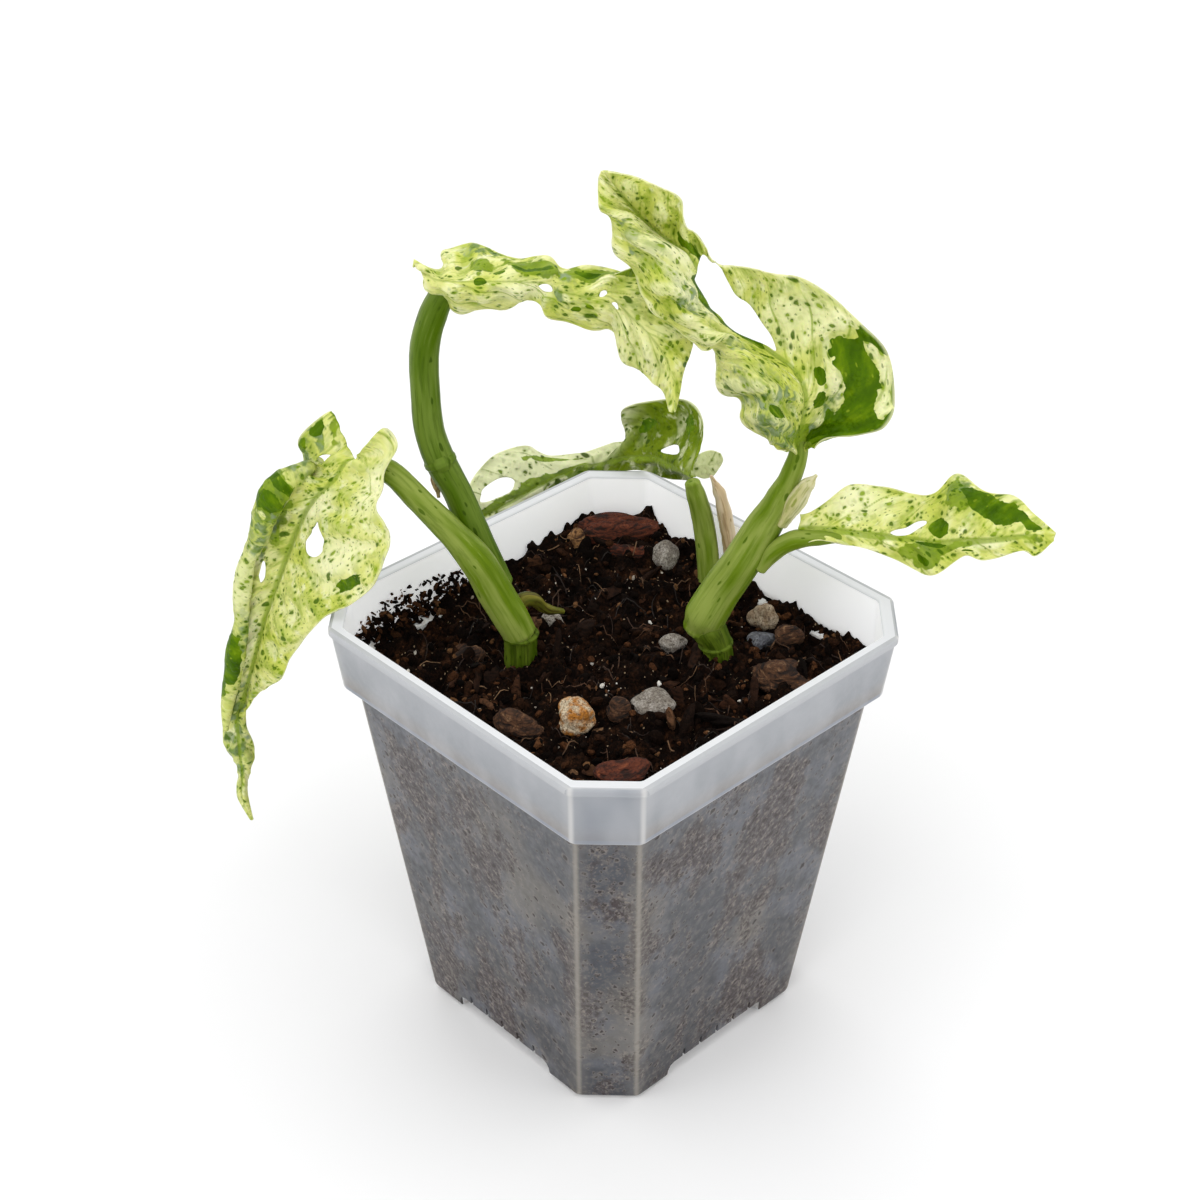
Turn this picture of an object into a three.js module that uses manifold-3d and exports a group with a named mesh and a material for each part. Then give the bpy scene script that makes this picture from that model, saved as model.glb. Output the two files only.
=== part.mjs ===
// A potted 'frozen freckles' monstera adansonii: a clear square nursery pot, its potting mix with
// stones and bark, two rooted cuttings with their stalks and sheaths, and five leaves.
// Millimetres, +Z up, the floor at z = 0 and the axis of the pot at the origin.
// The plant is laid out as it is seen over the front corner of the pot: x to the right, y away, z up.
// The whole group is turned at the end, so that the walls of the pot face X and Y.
import * as THREE from 'three';
import { mergeVertices } from 'three/addons/utils/BufferGeometryUtils.js';
import Module from 'manifold-3d';

const wasm = await Module();
wasm.setup();

// Pot: half widths are from the axis to a flat wall, chamfers are the legs cut off each corner.
const POT_TURN = THREE.MathUtils.degToRad(44);
const POT_HEIGHT = 96.5;
const RIM_HALF = 45;
const RIM_CHAMFER = 10;
const COLLAR_BOTTOM = 81.7;
const COLLAR_HALF = 43;
const WALL_TOP_HALF = 40.6;
const BASE_HALF = 32;
const BASE_CHAMFER = 8.9;
const WALL = 1;
const RIM_INNER_HALF = 42.3;
const CORNER_ROUND = 2.4;
const FOOT_HEIGHT = 4;
const FOOT_GAP_HALF = 14.7;
const DRAIN_SLIT = { width: 1, height: 2.6, spacing: 5, perSide: 5 };
const DRAIN_HOLE = { radius: 3, ring: 20, sides: 12 };

// Potting mix: its level at the axis, and how far it rises towards the back wall.
const SOIL_LEVEL = 80.5;
const SOIL_RISE = 0.075;
const SOIL_CELLS = 24;
const CRUMB_COUNT = 28;

// Touching pieces keep this gap.
const GAP = 0.3;

// Blades: the thickness of the lamina, and of the midrib that stands out of its underside.
const BLADE = 0.8;
const MIDRIB = 1.3;
const MIDRIB_REACH = 0.16;

const material = (color, roughness, extra = {}) =>
  new THREE.MeshStandardMaterial({ color, roughness, metalness: 0, ...extra });

const FROSTED = material(0xd9dce3, 0.45, { transparent: true, opacity: 0.55 });
const POTTING_MIX = material(0x2a1a12, 0.95);
const STEM_GREEN = material(0x6f8c33, 0.5);
const SHEATH_GREEN = material(0xa9bb72, 0.55);
const DRY_TAN = material(0xa58a63, 0.85);
const BLADE_CREAM = material(0xd7dda0, 0.5);
const BLADE_GREEN = material(0x7f9a3c, 0.5);

const seededRandom = (seed) => () => {
  seed = (seed + 0x6d2b79f5) | 0;
  let t = Math.imul(seed ^ (seed >>> 15), 1 | seed);
  t = (t + Math.imul(t ^ (t >>> 7), 61 | t)) ^ t;
  return ((t ^ (t >>> 14)) >>> 0) / 4294967296;
};

const v3 = (p) => new THREE.Vector3(p[0], p[1], p[2]);

// Geometry to solid and back.
const solidOf = (geometry) => {
  const bare = geometry.clone();
  bare.deleteAttribute('normal');
  bare.deleteAttribute('uv');
  const merged = mergeVertices(bare, 1e-4);
  const mesh = new wasm.Mesh({
    numProp: 3,
    vertProperties: new Float32Array(merged.attributes.position.array),
    triVerts: new Uint32Array(merged.index.array),
  });
  return new wasm.Manifold(mesh);
};

const geometryOf = (solid) => {
  const mesh = solid.getMesh();
  const geometry = new THREE.BufferGeometry();
  geometry.setAttribute('position', new THREE.BufferAttribute(mesh.vertProperties, 3));
  geometry.setIndex(new THREE.BufferAttribute(mesh.triVerts, 1));
  return geometry;
};

// The largest body of a cut solid: slivers that a cut leaves behind are dropped.
const largest = (solid) => {
  const bodies = solid.decompose();
  return bodies.reduce((best, body) => (body.volume() > best.volume() ? body : best));
};

const meshFromLists = (points, triangles) => {
  const geometry = new THREE.BufferGeometry();
  const flat = points.flatMap((p) => [p.x, p.y, p.z]);
  geometry.setAttribute('position', new THREE.Float32BufferAttribute(flat, 3));
  geometry.setIndex(triangles);
  return geometry;
};

// Edges that only one cell uses: the outline of a sheet and the rims of its holes.
const rimOf = (cells) => {
  const edgeUse = new Map();
  for (const cell of cells) {
    for (let k = 0; k < 4; k += 1) {
      const [a, b] = [cell[k], cell[(k + 1) % 4]];
      const key = a < b ? `${a}_${b}` : `${b}_${a}`;
      edgeUse.set(key, edgeUse.has(key) ? null : [a, b]);
    }
  }
  return [...edgeUse.values()].filter(Boolean);
};

// A sheet with two faces and closed edges: cells are quads, anticlockwise on the upper face, and
// they are split alike on both faces.
const sheetBody = (upper, lower, cells) => {
  const count = upper.length;
  const triangles = [];
  for (const [a, b, c, d] of cells) {
    triangles.push(a, b, c, a, c, d);
    triangles.push(a + count, c + count, b + count, a + count, d + count, c + count);
  }
  for (const [a, b] of rimOf(cells)) {
    triangles.push(a, a + count, b + count, a, b + count, b);
  }
  return meshFromLists([...upper, ...lower], triangles);
};

// A closed body from a stack of rings with the same number of points, each anticlockwise from above.
const loft = (rings) => {
  const count = rings[0].length;
  const points = rings.flat();
  const triangles = [];
  for (let i = 0; i + 1 < rings.length; i += 1) {
    for (let j = 0; j < count; j += 1) {
      const a = i * count + j;
      const b = i * count + ((j + 1) % count);
      triangles.push(a, b, b + count, a, b + count, a + count);
    }
  }
  const centre = (ring) =>
    ring.reduce((sum, p) => sum.add(p), new THREE.Vector3()).divideScalar(count);
  const bottom = points.push(centre(rings[0])) - 1;
  const top = points.push(centre(rings[rings.length - 1])) - 1;
  const last = (rings.length - 1) * count;
  for (let j = 0; j < count; j += 1) {
    const next = (j + 1) % count;
    triangles.push(bottom, next, j, top, last + j, last + next);
  }
  return meshFromLists(points, triangles);
};

// One level of the pot: a square with its corners cut off and every edge rounded.
const potSection = (half, chamfer, z, round = CORNER_ROUND) => {
  const ring = [];
  const arcSteps = 2;
  const turn = Math.PI / 4;
  const setBack = round * Math.tan(turn / 2);
  const corners = [
    { x: half, y: half - chamfer, heading: 2 * turn },
    { x: half - chamfer, y: half, heading: 3 * turn },
  ];
  for (let side = 0; side < 4; side += 1) {
    const spin = 2 * turn * side;
    for (const { x, y, heading } of corners) {
      const centre = new THREE.Vector2(
        x - setBack * Math.cos(heading) - round * Math.sin(heading),
        y - setBack * Math.sin(heading) + round * Math.cos(heading),
      );
      for (let step = 0; step <= arcSteps; step += 1) {
        const at = heading + (turn * step) / arcSteps;
        const px = centre.x + round * Math.sin(at);
        const py = centre.y - round * Math.cos(at);
        ring.push(new THREE.Vector3(
          px * Math.cos(spin) - py * Math.sin(spin),
          px * Math.sin(spin) + py * Math.cos(spin),
          z,
        ));
      }
    }
  }
  return ring;
};

// An inset wall keeps its thickness over a 45 degree chamfer with this much shorter a leg.
const CHAMFER_SHRINK = 2 - Math.SQRT2;
const wallHalfAt = (z) => BASE_HALF + ((WALL_TOP_HALF - BASE_HALF) * z) / COLLAR_BOTTOM;

const potOutside = () => loft([
  potSection(BASE_HALF - 0.8, BASE_CHAMFER, 0),
  potSection(wallHalfAt(0.9), BASE_CHAMFER, 0.9),
  potSection(wallHalfAt(COLLAR_BOTTOM - 0.6), 8.3, COLLAR_BOTTOM - 0.6),
  potSection(COLLAR_HALF - 0.5, 9, COLLAR_BOTTOM),
  potSection(COLLAR_HALF, 9.1, COLLAR_BOTTOM + 0.5),
  potSection(RIM_HALF - 0.5, RIM_CHAMFER - 0.2, POT_HEIGHT - 1.9),
  potSection(RIM_HALF, RIM_CHAMFER, POT_HEIGHT - 1.5),
  potSection(RIM_HALF, RIM_CHAMFER, POT_HEIGHT - 0.4),
  potSection(RIM_HALF - 0.4, RIM_CHAMFER - 0.2, POT_HEIGHT),
]);

// The space inside the pot, drawn in by `inset` all round: above the base and up past the rim.
const potInside = (inset) => {
  const section = (half, chamfer, z) =>
    potSection(half - inset, chamfer - CHAMFER_SHRINK * inset, z, CORNER_ROUND - 0.6);
  const innerChamfer = BASE_CHAMFER - CHAMFER_SHRINK * WALL;
  const shell = solidOf(loft([
    section(wallHalfAt(0) - WALL, innerChamfer, WALL + 0.2 + inset),
    section(wallHalfAt(COLLAR_BOTTOM) - WALL, 7.8, COLLAR_BOTTOM + 0.5),
    section(COLLAR_HALF - WALL, 8.5, COLLAR_BOTTOM + 1.5),
    section(RIM_INNER_HALF, 8.9, POT_HEIGHT + 2 + inset),
  ]));
  return shell.subtract(underpasses(FOOT_GAP_HALF + WALL + inset, FOOT_HEIGHT + WALL + 0.2 + inset));
};

// The two crossing passages between the four feet.
const underpasses = (half, height) => {
  const reach = 2 * BASE_HALF + 10;
  const profile = new THREE.Shape();
  profile.moveTo(-half, -5);
  profile.lineTo(half, -5);
  profile.lineTo(half - 0.5, height - 1.5);
  profile.lineTo(half - 2, height);
  profile.lineTo(-half + 2, height);
  profile.lineTo(-half + 0.5, height - 1.5);
  const passage = new THREE.ExtrudeGeometry(profile, { depth: reach, bevelEnabled: false });
  passage.translate(0, 0, -reach / 2);
  passage.rotateX(Math.PI / 2);
  const first = solidOf(passage);
  passage.rotateZ(Math.PI / 2);
  return first.add(solidOf(passage));
};

const drains = () => {
  let cut = null;
  const join = (geometry) => {
    cut = cut ? cut.add(solidOf(geometry)) : solidOf(geometry);
  };
  for (let side = 0; side < 4; side += 1) {
    for (let i = 0; i < DRAIN_SLIT.perSide; i += 1) {
      const along = (i - (DRAIN_SLIT.perSide - 1) / 2) * DRAIN_SLIT.spacing;
      const slit = new THREE.BoxGeometry(6, DRAIN_SLIT.width, DRAIN_SLIT.height * 2);
      slit.translate(BASE_HALF, along, FOOT_HEIGHT);
      slit.rotateZ((side * Math.PI) / 2);
      join(slit);
    }
    const hole = new THREE.CylinderGeometry(DRAIN_HOLE.radius, DRAIN_HOLE.radius, 6, DRAIN_HOLE.sides);
    hole.rotateX(Math.PI / 2);
    hole.translate(DRAIN_HOLE.ring, 0, FOOT_HEIGHT);
    hole.rotateZ((side * Math.PI) / 2);
    join(hole);
  }
  const middle = new THREE.CylinderGeometry(DRAIN_HOLE.radius, DRAIN_HOLE.radius, 6, DRAIN_HOLE.sides);
  middle.rotateX(Math.PI / 2);
  middle.translate(0, 0, FOOT_HEIGHT);
  join(middle);
  return cut;
};

const turned = (geometry) => geometry.rotateZ(POT_TURN);

const potGeometry = () => turned(geometryOf(
  solidOf(potOutside())
    .subtract(potInside(0))
    .subtract(underpasses(FOOT_GAP_HALF, FOOT_HEIGHT))
    .subtract(drains()),
));

// Stalks: a round body along a smooth line, one radius for each point, with domed ends.
// `groove` presses a furrow of that depth into the side that faces `facing`.
const stalk = (shape, grow = 0) => {
  const { points, radii, sides = 10, steps = 2, groove = 0, facing = [0, 0, 1] } = shape;
  const curve = new THREE.CatmullRomCurve3(points.map(v3), false, 'centripetal');
  const spans = points.length - 1;
  const count = spans * steps;
  const radiusAt = (t) => {
    const place = Math.min(t * spans, spans - 1e-6);
    const i = Math.floor(place);
    return THREE.MathUtils.lerp(radii[i], radii[i + 1], THREE.MathUtils.smoothstep(place - i, 0, 1));
  };
  const rings = [];
  let reference = v3(facing);
  const ring = (centre, direction, radius) => {
    reference = reference.clone().addScaledVector(direction, -reference.dot(direction)).normalize();
    const across = new THREE.Vector3().crossVectors(direction, reference);
    const circle = [];
    for (let j = 0; j < sides; j += 1) {
      const angle = (j / sides) * 2 * Math.PI;
      const toGroove = Math.atan2(Math.sin(angle), Math.cos(angle)) / 0.5;
      const furrow = groove * Math.exp(-toGroove * toGroove);
      const r = Math.max(radius * (1 - furrow), 0.25) + grow;
      circle.push(centre.clone()
        .addScaledVector(reference, r * Math.cos(angle))
        .addScaledVector(across, r * Math.sin(angle)));
    }
    rings.push(circle);
  };
  const tangentAt = (t) => curve.getTangent(THREE.MathUtils.clamp(t, 0, 1));
  const start = curve.getPoint(0);
  const end = curve.getPoint(1);
  const first = tangentAt(0);
  const final = tangentAt(1);
  ring(start.clone().addScaledVector(first, -0.35 * radii[0] - grow), first, radii[0] * 0.7);
  for (let i = 0; i <= count; i += 1) {
    ring(curve.getPoint(i / count), tangentAt(i / count), radiusAt(i / count));
  }
  const tipRadius = radii[radii.length - 1];
  ring(end.clone().addScaledVector(final, 0.35 * tipRadius + grow), final, tipRadius * 0.7);
  return solidOf(loft(rings));
};

// A ring of swollen tissue round a stalk, where a leaf was attached.
const nodeRing = (at, along, radius, grow = 0) => {
  const inner = radius * 0.9;
  const outer = radius * 1.12;
  const profile = [[0, -1.5], [inner, -1.4], [outer, -0.5], [outer, 0.5], [inner, 1.4], [0, 1.5]]
    .map(([r, z]) => new THREE.Vector2(r > 0 ? r + grow : 0, z + Math.sign(z) * grow));
  const ring = new THREE.LatheGeometry(profile, 10);
  const turn = new THREE.Quaternion().setFromUnitVectors(new THREE.Vector3(0, 1, 0), v3(along).normalize());
  ring.applyQuaternion(turn);
  ring.translate(...at);
  return solidOf(ring);
};

// Blades: rows of points across the leaf, from the stalk to the tip, and in each row from the left
// margin over the midrib to the right margin. A smooth surface runs through them.
const catmull = (a, b, c, d, t) => {
  const t2 = t * t;
  const t3 = t2 * t;
  return 0.5 * (2 * b + (c - a) * t + (2 * a - 5 * b + 4 * c - d) * t2 + (3 * b - a - 3 * c + d) * t3);
};

const pick = (list, i) => list[THREE.MathUtils.clamp(i, 0, list.length - 1)];

const splineRow = (list, place) => {
  const i = Math.min(Math.floor(place), list.length - 2);
  const t = place - i;
  const [a, b, c, d] = [pick(list, i - 1), list[i], list[i + 1], pick(list, i + 2)];
  return [0, 1, 2].map((k) => catmull(a[k], b[k], c[k], d[k], t));
};

// A point of the blade: `row` counts rows from the stalk, `across` runs from -1 to 1.
const bladePoint = (blade, row, across) => {
  const columns = blade.rows[0].length;
  const place = ((across + 1) / 2) * (columns - 1);
  const i = THREE.MathUtils.clamp(Math.floor(row), 0, blade.rows.length - 2);
  const near = [i - 1, i, i + 1, i + 2].map((k) => splineRow(pick(blade.rows, k), place));
  return new THREE.Vector3(...[0, 1, 2].map((k) =>
    catmull(near[0][k], near[1][k], near[2][k], near[3][k], row - i)));
};

const bladeNormal = (blade, row, across) => {
  const last = blade.rows.length - 1;
  const stepRow = 0.12;
  const stepAcross = 0.08;
  const along = bladePoint(blade, Math.min(row + stepRow, last), across)
    .sub(bladePoint(blade, Math.max(row - stepRow, 0), across));
  const sideways = bladePoint(blade, row, Math.min(across + stepAcross, 1))
    .sub(bladePoint(blade, row, Math.max(across - stepAcross, -1)));
  return sideways.cross(along).normalize();
};

// Puckers between the side veins and a ruffle that grows towards the margin.
const bladeWave = (blade, row, across) => {
  const { pucker = 0.5, ruffle = 0.6, pitch = 1.5 } = blade;
  const side = across < 0 ? 0.9 : 0;
  const veins = Math.sin(pitch * Math.PI * (row - Math.abs(across) * 0.8) + side);
  const fade = Math.min(1, (blade.rows.length - 1 - row) / 3);
  const inner = pucker * veins * Math.sin(Math.PI * Math.min(1, Math.abs(across) * 1.15));
  const outer = ruffle * across * across * Math.abs(across) * Math.sin(pitch * 2.1 * row + 2 * side);
  return fade * (inner + outer);
};

const inHole = (hole, row, across) => {
  const dr = (row - hole.row) / hole.rowReach;
  const da = (across - hole.across) / hole.acrossReach;
  return Math.hypot(dr, da);
};

// The way out of the blade at its margins; inside them it is zero.
const outOfMargin = (blade, row, across) => {
  const out = new THREE.Vector3();
  const from = (r, a) => bladePoint(blade, row, across).sub(bladePoint(blade, r, a)).normalize();
  if (Math.abs(across) === 1) out.add(from(row, across * 0.9));
  if (row === 0) out.add(from(0.2, across));
  return out;
};

// Both faces and every edge of a blade, with its holes, as one closed sheet.
const bladeGeometry = (blade, grow = 0) => {
  const lastRow = blade.rows.length - 1;
  const alongCells = Math.round(lastRow * (blade.fineness ?? 1.5));
  const acrossCells = blade.acrossCells ?? 10;
  const holes = blade.holes ?? [];
  const ribSide = blade.ribSide ?? -1;
  const nodes = [];
  for (let i = 0; i <= alongCells; i += 1) {
    for (let j = 0; j <= acrossCells; j += 1) {
      nodes.push({ row: (i / alongCells) * lastRow, across: (j / acrossCells) * 2 - 1 });
    }
  }
  const nodeAt = (i, j) => i * (acrossCells + 1) + j;
  const cells = [];
  for (let i = 0; i < alongCells; i += 1) {
    for (let j = 0; j < acrossCells; j += 1) {
      const row = ((i + 0.5) / alongCells) * lastRow;
      const across = ((j + 0.5) / acrossCells) * 2 - 1;
      const open = grow === 0 && holes.some((hole) => inHole(hole, row, across) < 1);
      if (!open) cells.push([nodeAt(i, j), nodeAt(i, j + 1), nodeAt(i + 1, j + 1), nodeAt(i + 1, j)]);
    }
  }
  const rim = rimOf(cells);
  const onHole = new Set();
  for (const [a, b] of rim) {
    for (const n of [a, b]) {
      const { row, across } = nodes[n];
      const inside = row > 0 && row < lastRow && Math.abs(across) < 0.999;
      if (inside) onHole.add(n);
    }
  }
  // The rim of a hole is drawn onto its oval.
  if (grow === 0) {
    for (const n of onHole) {
      const node = nodes[n];
      const hole = holes.reduce((best, h) =>
        (inHole(h, node.row, node.across) < inHole(best, node.row, node.across) ? h : best));
      const away = inHole(hole, node.row, node.across);
      node.row = hole.row + (node.row - hole.row) / away;
      node.across = hole.across + (node.across - hole.across) / away;
    }
  }
  const used = new Map();
  const upper = [];
  const lower = [];
  for (const n of new Set(cells.flat())) {
    const { row, across } = nodes[n];
    const normal = bladeNormal(blade, row, across);
    const middle = bladePoint(blade, row, across)
      .addScaledVector(normal, bladeWave(blade, row, across))
      .addScaledVector(outOfMargin(blade, row, across), 1.4 * grow);
    const toTip = row / lastRow;
    const rib = MIDRIB * (1 - toTip) * Math.exp(-((across / MIDRIB_REACH) ** 2));
    const half = BLADE / 2 + grow;
    used.set(n, upper.length);
    upper.push(middle.clone().addScaledVector(normal, half + (ribSide > 0 ? rib : 0)));
    lower.push(middle.clone().addScaledVector(normal, -half - (ribSide < 0 ? rib : 0)));
  }
  return sheetBody(upper, lower, cells.map((cell) => cell.map((n) => used.get(n))));
};

const bladeSolid = (blade, grow = 0) => solidOf(bladeGeometry(blade, grow));

// Left leaf: it hangs down outside the left corner of the pot, its left margin rolled up.
const leafLeft = {
  ribSide: 1,
  pucker: 0.5,
  ruffle: 0.7,
  rows: [
    [[-55.5, 14, 135.5], [-53, 10.5, 131.5], [-50.5, 6, 128.5], [-48, 4, 132.5], [-44.5, 2, 138]],
    [[-62, 15, 128], [-56.5, 10.5, 126.5], [-52.5, 6, 127.5], [-46.5, 3, 130.5], [-41.5, 1, 134]],
    [[-63, 16, 121], [-59.5, 12, 121.5], [-55.5, 7, 122.5], [-49, 3, 125.5], [-44.5, -0.5, 127.5]],
    [[-69.5, 13.5, 116.5], [-63.5, 10.5, 120.5], [-59.5, 8.5, 117.5], [-52, 2, 121], [-45.5, -3, 124]],
    [[-72.5, 14, 111], [-67.5, 10, 115.5], [-62.5, 9, 112], [-53.5, 0, 117], [-44, -5.5, 120.5]],
    [[-73.5, 14, 106], [-70, 11.5, 108], [-65, 10, 105.5], [-54.5, 0.5, 110], [-43.5, -6, 115.5]],
    [[-76.5, 13, 98.5], [-72, 11, 100.5], [-67.5, 10, 99], [-57.5, 1, 103], [-46, -7, 109]],
    [[-76.5, 12, 93.5], [-73.5, 10, 94], [-70, 10, 92.5], [-61.5, 2, 96], [-51.5, -5, 102]],
    [[-78, 11, 87.5], [-75, 10, 87.5], [-72, 9, 87], [-66, 3, 89.5], [-59.5, -2, 94.5]],
    [[-80, 11, 80], [-76.5, 9, 81], [-74, 9, 80.5], [-70, 6.5, 80.5], [-65.5, 3, 84]],
    [[-81, 11, 74], [-78, 8.5, 75], [-76, 9, 74], [-73, 7.5, 74], [-69, 6, 75.5]],
    [[-81.5, 11, 68.5], [-79.5, 8.5, 69.5], [-78, 9, 68], [-76.5, 8, 68.5], [-75.5, 8, 69]],
    [[-83, 11, 62.5], [-81, 8.5, 63.5], [-79.5, 8, 63.5], [-78.5, 8, 64], [-77.5, 8, 64.5]],
    [[-82.5, 10, 55], [-81, 7.5, 56.5], [-79.5, 7, 56.5], [-78, 7.5, 56.5], [-77, 9, 57]],
    [[-81, 9, 48.5], [-80, 7.5, 49.5], [-79.5, 7, 49.5], [-78.5, 7.5, 49.5], [-78, 9, 49]],
    [[-81, 8, 42.5], [-80.4, 7, 43], [-80, 7, 43], [-79.6, 7, 43], [-79, 8, 43]],
    [[-78.9, 7, 37.2], [-78.7, 7, 37.1], [-78.5, 7, 37], [-78.3, 7, 37.1], [-78.1, 7, 37.2]],
  ],
  holes: [
    { row: 4.7, across: 0.25, rowReach: 0.72, acrossReach: 0.13 },
    { row: 6.1, across: -0.4, rowReach: 0.5, acrossReach: 0.11 },
  ],
};

// Upper leaf: twisted along its length and held level across the middle of the plant.
const leafUpper = {
  pucker: 0.5,
  ruffle: 0.6,
  rows: [
    [[-38, 14, 166.5], [-37.8, 12.5, 167], [-37, 12, 166.5], [-36.2, 12, 165.7], [-35.5, 12, 165]],
    [[-33, 14, 166], [-33.3, 9, 167], [-33.5, 8, 166], [-34, 8.5, 164.2], [-34.5, 11, 161.5]],
    [[-32, 18, 167], [-30, 11, 167], [-29.5, 6, 166.5], [-30.2, 7, 163], [-31, 12, 158]],
    [[-27.5, 18, 169], [-26, 12, 168], [-25.5, 5, 167], [-25.7, 6, 163], [-26.5, 12, 157.5]],
    [[-22.5, 16, 167.5], [-21.7, 11, 167.8], [-21, 5, 167], [-21, 6, 163.5], [-21.5, 11, 158.5]],
    [[-18, 14, 168], [-17.2, 8, 168.3], [-17, 6, 166.5], [-16.7, 6.5, 164], [-17.5, 10, 160.5]],
    [[-13, 12, 168.5], [-11.7, 7, 168], [-12.5, 6, 166], [-13, 6.5, 163.5], [-14, 8, 161]],
    [[-9.5, 11, 167.5], [-9.8, 6.5, 167], [-10, 4, 165.5], [-10.7, 4.5, 162.5], [-12, 8, 158]],
    [[-4.5, 10, 167.5], [-4.5, 6.5, 166.3], [-5, 4, 164.5], [-5.2, 4.5, 161], [-6, 8, 156]],
    [[3, 12, 166], [0.8, 7.5, 166], [-1, 4, 164.5], [-1, 4.5, 161], [-1.5, 8, 156]],
    [[6.5, 10, 163], [5, 7, 162], [3, 5, 160], [2, 4.5, 157.5], [0.5, 7, 152.5]],
    [[11.5, 8, 157], [9.3, 6, 156.8], [7, 4, 156], [5, 4.5, 152.8], [3, 7, 148.5]],
    [[14.5, 8, 153], [12.3, 5, 152.7], [10, 4, 151], [8.5, 4.5, 149], [6.5, 6, 146.5]],
    [[13, 5, 147.5], [11.8, 3.5, 147.5], [11, 3, 146.5], [10.2, 3.5, 146], [9, 5, 144.5]],
    [[11.6, 2, 141.5], [11.3, 1.9, 141.5], [11, 1.8, 141.5], [10.7, 1.9, 141.5], [10.4, 2, 141.5]],
  ],
  holes: [
    { row: 6, across: 0.13, rowReach: 0.42, acrossReach: 0.15 },
    { row: 9, across: 0.05, rowReach: 0.42, acrossReach: 0.24 },
  ],
};

// The flap of its upper margin that is folded back behind the leaf.
const leafUpperFlap = {
  fineness: 2,
  acrossCells: 4,
  pucker: 0,
  ruffle: 0,
  rows: [
    [[-1.5, 7, 167], [-0.5, 7, 166], [0, 7, 164.5]],
    [[1.5, 10, 167], [2, 10, 165], [3, 9, 163.5]],
    [[4, 12, 167], [4.5, 12, 165], [5.5, 11, 163]],
    [[6.5, 12, 167.5], [7, 12, 165], [7.5, 11, 163.5]],
  ],
};

// Top leaf: the largest, folded along its midrib, with a knob at its left base and one wide opening
// beside the midrib.
const leafTop = {
  fineness: 1.6,
  pucker: 0.6,
  ruffle: 0.6,
  rows: [
    [[32.5, 3, 132], [34.5, 7, 130], [36, 10, 127.5], [37.5, 9, 129.5], [39, 7, 131]],
    [[28.5, 5, 134], [31.5, -1, 138], [36, 9, 131.5], [40, 10, 132], [44, 8, 133]],
    [[24.5, 6, 138], [29, -4, 144.5], [36.5, 8, 137], [43, 10, 136], [52, 6, 136]],
    [[23.5, 7, 141.5], [28, -4, 149.5], [36.5, 7, 142.5], [44, 9, 143], [54, 9, 141]],
    [[20, 7, 144.5], [25, -2, 154], [34.5, 8, 147], [41, 9, 152], [51.5, 9, 151.5]],
    [[18.5, 6, 152], [22, 1, 156], [30, 9, 150.5], [36.5, 10, 157], [44, 8, 159.5]],
    [[16, 5, 154], [19, 2, 157.5], [25, 9, 154], [30, 10, 160], [35, 8, 166.5]],
    [[10.5, 3, 159], [15, 1, 162], [20, 8, 158], [25, 10, 163], [27.5, 8, 168]],
    [[6.5, 2, 164], [11, -3, 167], [17, 7, 163], [19.5, 9, 166], [20.5, 8, 169]],
    [[2.5, 2, 170.5], [8, -4, 174.5], [15, 5, 170], [16.5, 7, 171.5], [17, 6, 173]],
    [[0, 2, 176], [5, -3, 179], [12, 4, 174], [12.8, 3.5, 177], [14, 2, 178.5]],
    [[-1.5, 1, 181.5], [2, -1, 182.5], [6.5, 4, 178.5], [10, 1, 182.5], [12, -2, 184]],
    [[-3, 0, 185], [-1, 0, 185], [2.5, 3, 183.5], [6.5, 0, 186.5], [10, -3, 188.5]],
    [[-3, 0, 189.5], [-2, 0.5, 189], [-0.5, 2, 188], [1.5, 0.5, 189.5], [4.5, -1, 190]],
    [[-2.6, 0, 191], [-2.3, 0.1, 191], [-2, 0.2, 191], [-1.7, 0.1, 191], [-1.4, 0, 191]],
  ],
  holes: [
    { row: 7, across: 0.38, rowReach: 1.7, acrossReach: 0.26 },
  ],
};

// Right leaf: it stands out level to the right, the middle of its upper margin curled up.
const leafRight = {
  pucker: 0.5,
  ruffle: 0.5,
  rows: [
    [[37.5, 8, 114.5], [37, 7, 114], [36.5, 6, 112.5], [36.5, 5, 111.5], [37, 5, 110.5]],
    [[42, 9, 117.5], [42.5, 7, 115.5], [42.5, 5, 113.5], [42.5, 4, 112.5], [42.5, 3, 112]],
    [[47, 12, 119.5], [47, 8, 116.5], [47.5, 4, 113.5], [47, 3, 112.5], [47.5, 2, 111.5]],
    [[53, 11, 120], [53, 7, 117], [53, 2, 114], [53, 1, 112.5], [52.5, 0, 111]],
    [[59, 8, 120], [58.5, 5, 117.5], [58, 0, 114.5], [58.5, -2, 113], [59, -3, 109.5]],
    [[62.5, 5, 122], [62.5, 3, 119.5], [63, -3, 115.5], [63, -5, 113], [62.5, -6, 110]],
    [[67, 6, 125.5], [66.5, 0, 123.5], [67.5, -5, 117.5], [67.5, -6, 116], [67.5, -7, 115]],
    [[72, 1, 125], [71.5, -3, 122.5], [72, -8, 119.5], [72, -9, 117.5], [71, -10, 116]],
    [[77, -3, 126], [76.5, -6, 124], [76.5, -10, 121.5], [76.5, -11, 120], [77.5, -12, 119.5]],
    [[80.5, -7, 124.5], [80.5, -9, 123.5], [80.5, -11, 122.5], [80.5, -12, 120], [80, -13, 119]],
    [[83.7, -11.6, 123.4], [83.6, -11.8, 123.2], [83.5, -12, 123], [83.4, -12.2, 122.8], [83.3, -12.4, 122]],
  ],
  holes: [
    { row: 4.1, across: -0.2, rowReach: 0.6, acrossReach: 0.13 },
  ],
};

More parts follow.
